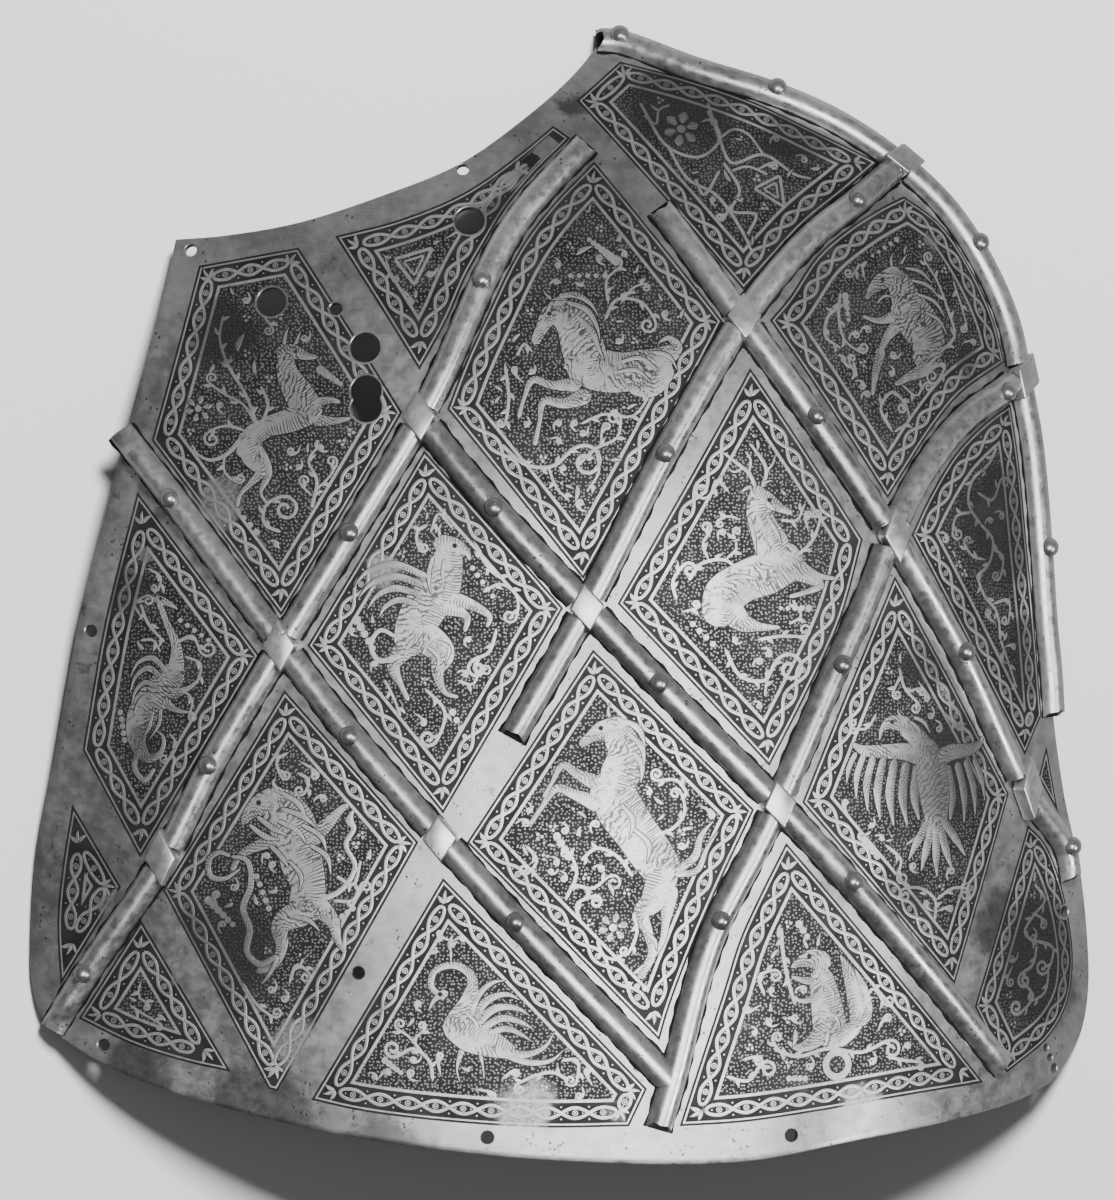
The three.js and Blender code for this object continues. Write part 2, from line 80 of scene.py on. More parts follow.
# Where bars cross: x, y, and the slope in degrees of a crossing bar that is lost
CROSSINGS = {
    "shoulder": (-0.155, 0.15),
    "hip": (-0.278, -0.049),
    "low": (-0.381, -0.236, -57),
    "high": (0.139, 0.237),
    "heart": (-0.007, -0.014),
    "flank": (0.277, 0.049),
    "belt": (0.168, -0.186),
    "foot": (-0.137, -0.216, 57),
    "step": (0.418, -0.177, 64),
    "edge_high": (0.302, 0.377),
    "edge_flank": (0.416, 0.188),
}

# Middle lines of the bars: x, y and what sits there, or the name of a crossing
RIVET = "rivet"
BARS = {
    "left_rising": [
        (0.007, 0.393), (-0.043, 0.345), (-0.068, 0.315), (-0.096, 0.268, RIVET),
        (-0.133, 0.191), "shoulder", (-0.217, 0.05, RIVET), "hip",
        (-0.34, -0.154, RIVET), "low", (-0.449, -0.339, RIVET), (-0.48, -0.39),
    ],
    "middle_rising": [
        "edge_high", (0.251, 0.34, RIVET), (0.218, 0.318), (0.19, 0.294), (0.164, 0.267),
        "high", (0.064, 0.119, RIVET), "heart", (-0.074, -0.129),
    ],
    "right_rising": [
        "edge_flank", (0.393, 0.174, RIVET), (0.363, 0.157), (0.337, 0.136), (0.316, 0.112),
        (0.299, 0.089), "flank", (0.253, -0.007), (0.225, -0.064, RIVET), "belt",
        (0.148, -0.226), (0.115, -0.287, RIVET), (0.098, -0.332), (0.073, -0.428), (0.06, -0.471),
    ],
    "lower_falling": [
        (-0.42, 0.138), (-0.374, 0.079, RIVET), "hip", (-0.217, -0.127, RIVET), "foot",
        (-0.07, -0.288, RIVET), (0.075, -0.433),
    ],
    "main_falling": [
        "shoulder", (-0.09, 0.072, RIVET), "heart", (0.058, -0.08, RIVET), "belt",
        (0.236, -0.254, RIVET), (0.318, -0.34), (0.399, -0.427),
    ],
    "upper_falling": [
        (0.068, 0.336), "high", (0.202, 0.152, RIVET), "flank", (0.347, -0.054, RIVET),
        "step", (0.465, -0.231, RIVET), (0.474, -0.263),
    ],
    "edge": [
        (0.025, 0.486), (0.046, 0.4845, RIVET), (0.114, 0.46), (0.186, 0.438, RIVET),
        (0.245, 0.413), "edge_high", (0.344, 0.341), (0.372, 0.305, RIVET), (0.396, 0.262),
        (0.409, 0.227), "edge_flank", (0.427, 0.132), (0.437, 0.037, RIVET), (0.443, -0.03),
        (0.449, -0.077), (0.452, -0.115),
    ],
}
# Bar ends that are beaten flat: bar, segment, end
TABS = {("left_rising", 4): "end", ("lower_falling", 1): "start"}

# Holes for the bolts, the pin and the laces: x, y
BOLT_HOLES = [(-0.285, 0.252), (-0.203, 0.212), (-0.105, 0.324)]
KEYHOLE = [(-0.203, 0.174), (-0.203, 0.16)]
PIN_HOLE = (-0.228, 0.246)
LACE_HOLES = [
    (-0.108, 0.37), (-0.355, 0.298), (-0.447, -0.038), (-0.435, -0.403), (-0.21, -0.335),
    (-0.094, -0.478), (0.184, -0.477), (0.47, -0.291),
]
TORN_SLOT = [(0.449, -0.412), (0.454, -0.421), (0.459, -0.431)]

# How the part's own middle lies from the plate's middle
PART_SHIFT = Vector((-0.11, 0.154, 0.135)) * MM

# The dome is unrolled over a little more than the plate, in even steps
UNROLL_SPAN = 1.04
UNROLL_STEPS = 200

# How fine a line is sampled before places are spread evenly on it
LINE_SAMPLES = 400
BAR_SAMPLES = 300
BAR_ARCS = 12


def length(name, default, description):
    """A size in metres that the panel shows."""
    return FloatProperty(
        name=name, description=description, default=default * MM, unit="LENGTH", precision=5
    )


def colour(name, default, description):
    """A colour that the panel shows."""
    return FloatVectorProperty(
        name=name, description=description, default=default, subtype="COLOR", size=3, min=0, max=1
    )


class TargePlateSizes(bpy.types.PropertyGroup):
    width: length("Width", 400, "Width of the plate across the plan")
    height: length("Height", 418, "Height of the plate across the plan")
    thickness: length("Thickness", 2.6, "Thickness of the steel")
    right_drop: length("Right drop", 70, "Fall from the crest to the right rim")
    left_drop: length("Left drop", 72, "Fall from the crest to the left rim")
    top_drop: length("Top drop", 69, "Fall from the crest to the top rim")
    bottom_drop: length("Bottom drop", 3, "Fall from the crest to the bottom rim")
    bolt_hole: length("Bolt hole", 11.2, "Diameter of the bolt holes")
    keyhole: length("Keyhole", 11.4, "Width of the keyhole slot")
    pin_hole: length("Pin hole", 4.7, "Diameter of the pin hole")
    lace_hole: length("Lace hole", 4.6, "Diameter of the lace holes")
    torn_slot: length("Torn slot", 3, "Width of the torn slot at the corner")
    edge_round: length("Edge rounding", 0.5, "Worn rounding of the rim")
    steps: IntProperty(
        name="Grid steps", description="Cells along each side", default=120, min=20, max=180
    )


class TargeTrellisSizes(bpy.types.PropertyGroup):
    bar_width: length("Bar width", 9.8, "Width of a bar")
    bar_height: length("Bar height", 5.6, "Height of a bar above the plate")
    bar_sheet: length("Bar sheet", 1.2, "Thickness of the sheet a bar is raised from")
    tab_height: length("Tab height", 1.9, "Height of an end that is beaten flat")
    tab_length: length("Tab length", 7, "Length of an end that is beaten flat")
    torn_back: length("Torn back", 2.6, "How far the top of a broken end lies behind its foot")
    torn_reach: length("Torn reach", 7, "How far along a bar its broken end bends it")
    # The dark strip along a bar's foot is dirt with painted contact shade
    grime_and_contact_shade: length("Grime", 1.0, "Width of the dirt along a bar's foot")
    boss_oversize: length("Boss oversize", 0.3, "How far a boss stands out beside a bar")
    boss_height: length("Boss height", 6.4, "Height of a boss above the plate")
    boss_bevel: length("Boss bevel", 0.8, "Width of the worn bevel round a boss")
    rivet_head: length("Rivet head", 7.2, "Diameter of a rivet's head")
    rivet_rise: length("Rivet rise", 3.2, "How far a rivet's head stands above the bar")
    rivet_shank: length("Rivet shank", 3.2, "Diameter of a rivet's shank")
    rivet_tail: length("Rivet tail", 5, "Diameter of a rivet's tail behind the plate")
    tail_height: length("Tail height", 1, "Height of a rivet's tail")


class TargeFinishes(bpy.types.PropertyGroup):
    plate: colour("Plate", (0.34, 0.335, 0.33), "Bare steel of the plate")
    bar: colour("Bar", (0.47, 0.465, 0.455), "Steel of the bars")
    boss: colour("Boss", (0.5, 0.495, 0.485), "Steel of the bosses")
    rivet: colour("Rivet", (0.3, 0.297, 0.29), "Steel of the rivets")
    ground: colour("Ground", (0.022, 0.0215, 0.021), "Blackened ground of the etching")
    floor: colour("Floor", (0.8, 0.8, 0.795), "Pale floor")


def settings():
    return bpy.context.scene.targe


def lengths_along(points):
    """How far each point lies along a line, from its start."""
    reached = [0.0]
    for a, b in zip(points, points[1:]):
        reached.append(reached[-1] + (b - a).length)
    return reached


class PlanLine:
    """A smooth line through rows of plan places, as the part's source draws it."""

    def __init__(self, rows):
        sizes = settings().plate
        self.points = [Vector((row[0] * sizes.width, row[1] * sizes.height)) for row in rows]

    @classmethod
    def through(cls, points):
        line = cls([])
        line.points = points
        return line

    def at(self, share):
        points = self.points
        place = min(max(share, 0), 1) * (len(points) - 1)
        index = min(int(place), len(points) - 2)
        weight = place - index
        p1, p2 = points[index], points[index + 1]
        p0 = points[index - 1] if index > 0 else 2 * p1 - p2
        p3 = points[index + 2] if index + 2 < len(points) else 2 * p2 - p1
        d0, d1, d2 = (math.sqrt((b - a).length) for a, b in ((p0, p1), (p1, p2), (p2, p3)))
        start = ((p1 - p0) / d0 - (p2 - p0) / (d0 + d1) + (p2 - p1) / d1) * d1
        end = ((p2 - p1) / d1 - (p3 - p1) / (d1 + d2) + (p3 - p2) / d2) * d1
        square, cube = weight**2, weight**3
        return (
            p1 * (2 * cube - 3 * square + 1)
            + start * (cube - 2 * square + weight)
            + p2 * (3 * square - 2 * cube)
            + end * (cube - square)
        )

    def tangent(self, share):
        step = 1e-4
        return (self.at(min(share + step, 1)) - self.at(max(share - step, 0))).normalized()

    def even(self, count):
        """Places evenly spaced along the line."""
        samples = [self.at(step / LINE_SAMPLES) for step in range(LINE_SAMPLES + 1)]
        reached = lengths_along(samples)
        places, index = [], 0
        for step in range(count + 1):
            goal = reached[-1] * step / count
            while index < LINE_SAMPLES - 1 and reached[index + 1] < goal:
                index += 1
            run = reached[index + 1] - reached[index]
            places.append(samples[index].lerp(samples[index + 1], (goal - reached[index]) / run))
        return places


class Dome:
    """The plate's outer surface as a height over its plan."""

    def __init__(self):
        sizes = settings().plate
        self.width, self.tall, self.thickness = sizes.width, sizes.height, sizes.thickness
        self.right = (sizes.right_drop, FALL_POWER["right"], self.width * (0.5 - CREST[0]))
        self.left = (sizes.left_drop, FALL_POWER["left"], self.width * (0.5 + CREST[0]))
        self.top = (sizes.top_drop, FALL_POWER["top"], self.tall * (0.5 - CREST[1]))
        self.bottom = (sizes.bottom_drop, FALL_POWER["bottom"], self.tall * (0.5 + CREST[1]))
        self.crest = (CREST[0] * self.width, CREST[1] * self.tall)
        self.tilt = Vector((0, 0, 0))
        for _ in range(8):
            feet = [self.above(self.place(foot), -self.thickness) - PART_SHIFT for foot in FEET]
            normal = (feet[1] - feet[0]).cross(feet[2] - feet[0])
            self.tilt.x -= normal.x / normal.z
            self.tilt.y -= normal.y / normal.z
            self.tilt.z += normal.dot(feet[0]) / normal.z
        self.across = self.unrolled(self.width, lambda x: self.read(x, self.crest[1])[1])
        self.along = self.unrolled(self.tall, lambda y: self.read(self.crest[0], y)[2])

    def unrolled(self, size, slope):
        """Lengths along the steel at even steps of the plan, from one side."""
        reached = [0.0]
        for step in range(UNROLL_STEPS):
            place = ((step + 0.5) / UNROLL_STEPS - 0.5) * UNROLL_SPAN * size
            run = UNROLL_SPAN * size / UNROLL_STEPS
            reached.append(reached[-1] + math.hypot(1, slope(place)) * run)
        return reached

    def flat(self, x, y):
        """Where a plan place comes to lie when the steel is unrolled."""
        found = []
        for table, size, value in ((self.across, self.width, x), (self.along, self.tall, y)):
            share = min(max(value / (UNROLL_SPAN * size) + 0.5, 0), 0.9999) * UNROLL_STEPS
            index = int(share)
            found.append(table[index] + (table[index + 1] - table[index]) * (share - index))
        return found

    def place(self, row):
        return Vector((row[0] * self.width, row[1] * self.tall))

    def read(self, x, y):
        """Height and both slopes over a plan place."""
        across, along = x - self.crest[0], y - self.crest[1]
        drop, power, reach = self.right if across > 0 else self.left
        share = abs(across) / reach
        side = 1 if across > 0 else -1
        z = -drop * share**power - self.tilt.x * x - self.tilt.y * y - self.tilt.z
        slope_x = -side * drop * power * share ** (power - 1) / reach - self.tilt.x
        drop, power, reach = self.top if along > 0 else self.bottom
        share = abs(along) / reach
        side = 1 if along > 0 else -1
        z -= drop * share**power
        slope_y = -side * drop * power * share ** (power - 1) / reach - self.tilt.y
        return z, slope_x, slope_y

    def normal(self, place):
        _, slope_x, slope_y = self.read(place[0], place[1])
        return Vector((-slope_x, -slope_y, 1)).normalized()

    def above(self, place, rise=0.0):
        """The point over a plan place, raised along the surface's normal."""
        x, y = place[0], place[1]
        z, slope_x, slope_y = self.read(x, y)
        push = rise / math.sqrt(slope_x * slope_x + slope_y * slope_y + 1)
        return Vector((
            x - slope_x * push + PART_SHIFT.x, y - slope_y * push + PART_SHIFT.y,
            z + push + PART_SHIFT.z,
        ))

    def beside(self, place, ahead, offset):
        """The plan place that lies beside a line, measured along the steel, to its left."""
        _, slope_x, slope_y = self.read(place[0], place[1])
        tangent = Vector((ahead[0], ahead[1], slope_x * ahead[0] + slope_y * ahead[1]))
        side = Vector((-slope_x, -slope_y, 1)).cross(tangent)
        side *= offset / side.length
        return Vector((place[0] + side.x, place[1] + side.y))

    def stand(self, place, along=None):
        """A matrix that stands a shape made on the XY plane on the surface."""
        up = self.normal(place)
        ahead = Vector((along[0], along[1], 0)) if along else Vector((1, 0, 0))
        ahead = (ahead - up * ahead.dot(up)).normalized()
        side = up.cross(ahead)
        turn = Matrix((ahead, side, up)).transposed().to_4x4()
        return Matrix.Translation(self.above(place)) @ turn


def mesh_of(name, bm):
    """Turns a bmesh into a mesh and frees it."""
    mesh = bpy.data.meshes.new(name)
    bm.to_mesh(mesh)
    bm.free()
    return mesh


def turned(bm, profile, steps):
    """Turns a profile of radii and heights round the Z axis."""
    verts = [bm.verts.new((x, 0, z)) for x, z in profile]
    edges = [bm.edges.new(pair) for pair in zip(verts, verts[1:])]
    bmesh.ops.spin(
        bm, geom=verts + edges, cent=(0, 0, 0), axis=(0, 0, 1), angle=2 * math.pi, steps=steps,
        use_merge=True,
    )


def finish_piece(name, bm, materials, replaced=(), angle=35):
    """Turns a bmesh into a finished piece that rides on the targe."""
    mesh = mesh_of(name, bm)
    for material in materials:
        mesh.materials.append(material)
    mesh.shade_smooth()
    mesh.set_sharp_from_angle(angle=math.radians(angle))
    piece = bpy.data.objects.new(name, mesh)
    bpy.context.scene.collection.objects.link(piece)
    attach(piece, BODY)
    if replaced:
        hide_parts(*replaced)
    return piece


def bake_modifiers(piece):
    """Keeps what the piece's modifiers make as its own mesh."""
    graph = bpy.context.evaluated_depsgraph_get()
    mesh = bpy.data.meshes.new_from_object(piece.evaluated_get(graph))
    piece.modifiers.clear()
    piece.data = mesh


class Nodes:
    """Short way to set up a material's nodes."""

    def __init__(self, name):
        self.material = bpy.data.materials.new(name)
        self.material.use_nodes = True
        self.tree = self.material.node_tree
        self.shader = self.tree.nodes["Principled BSDF"]

    def add(self, kind, inputs=None, **settings_):
        node = self.tree.nodes.new(kind)
        for key, value in settings_.items():
            setattr(node, key, value)
        for key, value in (inputs or {}).items():
            if isinstance(value, bpy.types.NodeSocket):
                self.tree.links.new(value, node.inputs[key])
            else:
                node.inputs[key].default_value = value
        return node

    def math(self, operation, first, second=0.0, third=0.0):
        inputs = {0: first, 1: second, 2: third}
        return self.add("ShaderNodeMath", inputs, operation=operation).outputs[0]

    def times(self, first, second):
        return self.math("MULTIPLY", first, second)

    def plus(self, first, second):
        return self.math("ADD", first, second)

    def ramp(self, value, low, high, bottom=0.0, top=1.0):
        """Maps low..high to bottom..top smoothly."""
        node = self.add(
            "ShaderNodeMapRange",
            {"Value": value, "From Min": low, "From Max": high, "To Min": bottom, "To Max": top},
            interpolation_type="SMOOTHSTEP",
        )
        return node.outputs[0]

    def noise(self, vector, scale, detail=2.0, roughness=0.5):
        node = self.add(
            "ShaderNodeTexNoise",
            {"Vector": vector, "Scale": scale, "Detail": detail, "Roughness": roughness},
        )
        return node.outputs["Fac"]

    def mix(self, share, first, second):
        node = self.add("ShaderNodeMix", {0: share, 6: first, 7: second}, data_type="RGBA")
        return node.outputs[2]

    def stretch(self, vector, scale, turn=(0, 0, 0)):
        node = self.add("ShaderNodeMapping", {"Vector": vector, "Scale": scale, "Rotation": turn})
        return node.outputs[0]

    def bump(self, height, distance, strength=1.0, normal=None):
        inputs = {"Height": height, "Distance": distance, "Strength": strength}
        if normal:
            inputs["Normal"] = normal
        return self.add("ShaderNodeBump", inputs).outputs[0]

    def shade(self, **values):
        for key, value in values.items():
            name = {"base": "Base Color"}.get(key, key.title())
            socket = self.shader.inputs[name]
            if isinstance(value, bpy.types.NodeSocket):
                self.tree.links.new(value, socket)
            else:
                socket.default_value = value
        return self.material


def rgba(value, share=1.0):
    return (value[0] * share, value[1] * share, value[2] * share, 1.0)


def steel(name, base, dark=0.6, rough=(0.3, 0.5), pits=0.5):
    """Old steel: cloudy colour, fine scratches and small pits."""
    n = Nodes(name)
    place = n.add("ShaderNodeTexCoord").outputs["Object"]
    clouds = n.noise(place, 14, 5, 0.6)
    grain = n.noise(place, 260, 4, 0.65)
    fine = n.noise(place, 1400, 2, 0.5)
    tone = n.ramp(n.plus(clouds, n.times(grain, 0.6)), 0.55, 1.05)
    base_colour = n.mix(tone, rgba(base, dark), rgba(base, 1.15))
    cells = n.add("ShaderNodeTexVoronoi", {"Vector": place, "Scale": 420}).outputs["Distance"]
    chosen = n.ramp(n.noise(place, 90, 2), 0.58, 0.66)
    pit = n.times(n.ramp(cells, 0.3, 0.12), chosen)
    base_colour = n.mix(n.times(pit, pits), base_colour, rgba(base, 0.12))
    roughness = n.ramp(grain, 0.3, 0.7, rough[0], rough[1])
    height = n.math("SUBTRACT", n.times(fine, 0.25), pit)
    normal = n.bump(height, 0.00015, 0.35)
    return n.shade(base=base_colour, metallic=0.85, roughness=roughness, normal=normal)


# Places where the etching is rubbed away: x, y as shares, and the radius in millimetres
WORN = [
    (-0.335, 0.075, 17), (-0.19, 0.02, 15), (-0.4, 0.03, 13), (-0.265, -0.4, 17),
    (-0.06, -0.45, 20), (-0.43, -0.28, 12), (-0.12, 0.12, 9), (0.02, -0.46, 14),
    (0.25, -0.455, 18), (-0.3, -0.13, 8),
    (0.33, 0.31, 10), (-0.07, -0.2, 7), (-0.37, -0.34, 13), (0.1, -0.455, 12), (0.14, -0.38, 11),
    (0.17, -0.28, 6), (0.03, -0.1, 6), (-0.15, 0.05, 8),
]

# Places where the bare steel is darkened in patches, told in the same way: real stains, and
# painted dark reflections where the steel mirrors dark surroundings
STAINS_AND_SHADE = [
    (-0.3, -0.46, 34), (-0.41, -0.43, 28), (-0.18, -0.485, 26), (0.0, 0.43, 17), (-0.03, 0.4, 15),
    (0.4, -0.3, 26), (-0.46, -0.02, 16), (0.45, -0.36, 30),
]


# Places where the etched panels are painted darker: painted shade where the steel turns away from
# the lights
PAINTED_SHADE_SPOTS = [
    (0.4, 0.06, 36), (0.43, -0.06, 30), (0.44, -0.33, 38), (0.1, 0.43, 34), (0.2, 0.4, 26),
    (0.33, -0.16, 34), (0.31, -0.06, 24), (-0.33, -0.32, 34), (-0.22, -0.36, 26), (-0.43, 0.0, 26),
    (-0.4, -0.14, 20), (-0.33, 0.22, 26), (-0.07, 0.33, 22), (0.36, 0.2, 18), (0.29, -0.27, 22),
]


def patches(n, place, spots, reach):
    """A mask of ragged round patches."""
    rough = n.noise(place, 60, 4, 0.7)
    dome, found = Dome(), 0.0
    for x, y, radius in spots:
        spot = dome.above(dome.place((x, y)))
        away = n.add("ShaderNodeVectorMath", {0: place, 1: spot}, operation="DISTANCE").outputs[1]
        edge = n.plus(n.times(rough, reach), away)
        inside = n.ramp(edge, radius * MM * 1.25, radius * MM * 0.75 + 0.003)
        found = n.math("MAXIMUM", found, inside)
    return found


def worn(n, place):
    """How far the etching is rubbed away: 0 crisp, 1 bare."""
    cloudy = n.ramp(n.noise(place, 22, 3, 0.6), 0.66, 0.8, 0, 0.55)
    return n.math("MAXIMUM", cloudy, patches(n, place, WORN, 0.022))


def plate_steel():
    """Bare steel of the bands and borders: brushed, stained, finely pitted, and darkened in
    patches by painted dark reflections.
    """
    n = Nodes("plate_steel")
    base = settings().finish.plate
    place = n.add("ShaderNodeTexCoord").outputs["Object"]
    clouds = n.noise(place, 16, 5, 0.6)
    grain = n.noise(place, 180, 4, 0.7)
    brushed = n.noise(n.stretch(place, (260, 1500, 260), (0, 0, 0.35)), 1, 3, 0.6)
    tone = n.ramp(n.plus(clouds, n.times(grain, 0.5)), 0.5, 1.0)
    colour = n.mix(tone, rgba(base, 0.62), rgba(base, 1.25))
    colour = n.mix(n.ramp(brushed, 0.55, 0.8, 0, 0.3), colour, rgba(base, 0.6))
    cells = n.add("ShaderNodeTexVoronoi", {"Vector": place, "Scale": 520}).outputs["Distance"]
    chosen = n.ramp(n.noise(place, 120, 3), 0.55, 0.64)
    pit = n.times(n.ramp(cells, 0.36, 0.16), chosen)
    blots = n.ramp(n.noise(place, 75, 6, 0.75), 0.6, 0.68, 0, 0.55)
    spoiled = n.math("MAXIMUM", n.times(pit, 0.85), blots)
    colour = n.mix(spoiled, colour, rgba(base, 0.14))
    for turn in (0.5, 1.9, 2.7):
        long = n.noise(n.stretch(place, (60, 2600, 60), (0, 0, turn)), 1, 2, 0.5)
        colour = n.mix(n.ramp(long, 0.69, 0.73, 0, 0.45), colour, rgba(base, 0.35))
    # Stains and painted dark reflections: dark patches on the bare steel
    dark = patches(n, place, STAINS_AND_SHADE, 0.03)
    colour = n.mix(n.times(dark, 0.74), colour, rgba(base, 0.18))
    roughness = n.ramp(grain, 0.3, 0.7, 0.28, 0.42)
    height = n.math("SUBTRACT", n.times(brushed, 0.35), pit)
    normal = n.bump(height, 0.0001, 0.3)
    return n.shade(base=colour, metallic=0.85, roughness=roughness, normal=normal)


def ground_steel():
    """Blackened ground of the etching, with small bright pearls where the flow asks for them."""
    n = Nodes("ground_steel")
    finish = settings().finish
    place = n.add("ShaderNodeTexCoord").outputs["Object"]
    flow = n.add("ShaderNodeAttribute", attribute_name="flow").outputs["Vector"]
    split = n.add("ShaderNodeSeparateXYZ", {0: flow})
    jitter = n.noise(place, 300, 1)
    cells = n.add(
        "ShaderNodeTexVoronoi", {"Vector": flow, "Scale": 0.74, "Randomness": 0.72},
        voronoi_dimensions="2D",
    ).outputs["Distance"]
    size = n.ramp(jitter, 0.3, 0.7, 0.2, 0.29)
    edge = n.math("SUBTRACT", cells, size)
    pearl = n.times(n.ramp(edge, 0.05, -0.03), split.outputs["Z"])
    rubbed = worn(n, place)
    dirt = n.ramp(n.noise(place, 90, 3), 0.3, 0.75)
    dark = n.mix(dirt, rgba(finish.ground, 0.55), rgba(finish.ground, 1.35))
    bright = rgba(finish.plate, 0.62)
    colour = n.mix(pearl, dark, bright)
    speckle = n.ramp(n.noise(place, 700, 3, 0.7), 0.42, 0.6)
    bare = n.mix(n.times(speckle, 0.45), rgba(finish.plate, 0.8), dark)
    colour = n.mix(rubbed, colour, bare)
    # Painted shade: the etched ground darkens in patches where the steel turns away from the
    # lights
    painted_shade = n.times(patches(n, place, PAINTED_SHADE_SPOTS, 0.03), 0.75)
    colour = n.mix(painted_shade, colour, rgba(finish.ground, 0.8))
    lit = n.math("MAXIMUM", pearl, rubbed)
    height = n.plus(pearl, n.times(n.noise(place, 900, 2), 0.3))
    return n.shade(
        base=colour, metallic=n.ramp(lit, 0, 1, 0.55, 0.85), roughness=n.ramp(lit, 0, 1, 0.6, 0.4),
        normal=n.bump(height, 0.00012, 0.5),
    )


def raised_steel(name, hatched):
    """Steel that the etching left standing. A hatched one has engraved strokes along one side."""
    n = Nodes(name)
    finish = settings().finish
    place = n.add("ShaderNodeTexCoord").outputs["Object"]
    clouds = n.noise(place, 18, 4, 0.6)
    grain = n.noise(place, 420, 3, 0.7)
    tone = n.ramp(n.plus(clouds, n.times(grain, 0.6)), 0.5, 1.05)
    colour = n.mix(tone, rgba(finish.plate, 0.85), rgba(finish.plate, 1.6))
    cut = n.ramp(grain, 0.57, 0.66, 0, 0.55) if hatched else n.ramp(grain, 0.66, 0.74, 0, 0.6)
    if hatched:
        flow = n.add("ShaderNodeAttribute", attribute_name="flow").outputs["Vector"]
        split = n.add("ShaderNodeSeparateXYZ", {0: flow})
        along, across, wide = split.outputs
        bow = n.times(n.math("POWER", n.math("ABSOLUTE", across), 2.0), 0.5)
        sway = n.times(n.noise(place, 160, 1), 1.2)
        phase = n.plus(n.plus(n.times(along, 0.95), bow), sway)
        wave = n.math("SINE", n.times(phase, 2 * math.pi))
        shade = n.plus(n.times(across, 0.55), n.noise(place, 140, 2))
        side = n.ramp(shade, 0.38, 0.72)
        hatch = n.times(n.ramp(wave, 0.2, 0.7), side)
        slant = n.plus(n.times(along, 0.42), n.times(across, 1.9))
        ruffle = n.times(n.noise(place, 210, 3, 0.6), 3.4)
        hair = n.math("SINE", n.times(n.plus(slant, ruffle), 2 * math.pi))
        tufts = n.ramp(n.noise(place, 95, 3, 0.6), 0.44, 0.56)
        hatch = n.math("MAXIMUM", hatch, n.times(n.ramp(hair, 0.15, 0.6), tufts))
        hatch = n.times(hatch, n.ramp(wide, 1.6, 3.2, 0.15, 1))
        away = n.times(n.math("SUBTRACT", 1.0, n.math("ABSOLUTE", across)), wide)
        rim = n.ramp(away, 0.85, 0.6)
        cut = n.math("MAXIMUM", cut, n.math("MAXIMUM", n.times(hatch, 0.85), rim))
    colour = n.mix(cut, colour, rgba(finish.ground, 1.4))
    rubbed = n.times(worn(n, place), 0.75)
    colour = n.mix(rubbed, colour, rgba(finish.plate, 0.8))
    # Painted shade: the raised steel darkens in patches where the steel turns away from the lights
    painted_shade = n.times(patches(n, place, PAINTED_SHADE_SPOTS, 0.03), 0.68)
    colour = n.mix(painted_shade, colour, rgba(finish.plate, 0.35))
    height = n.math("SUBTRACT", n.times(grain, 0.2), cut)
    return n.shade(base=colour, metallic=0.85, roughness=0.4, normal=n.bump(height, 0.0001, 0.4))


def all_holes():
    """Every round hole of the plate with its diameter, slots as the holes that overlap."""
    sizes = settings().plate
    holes = [(place, sizes.bolt_hole) for place in BOLT_HOLES]
    holes += [(place, sizes.keyhole) for place in KEYHOLE]
    holes += [(place, sizes.lace_hole) for place in LACE_HOLES]
    return holes + [(PIN_HOLE, sizes.pin_hole)]


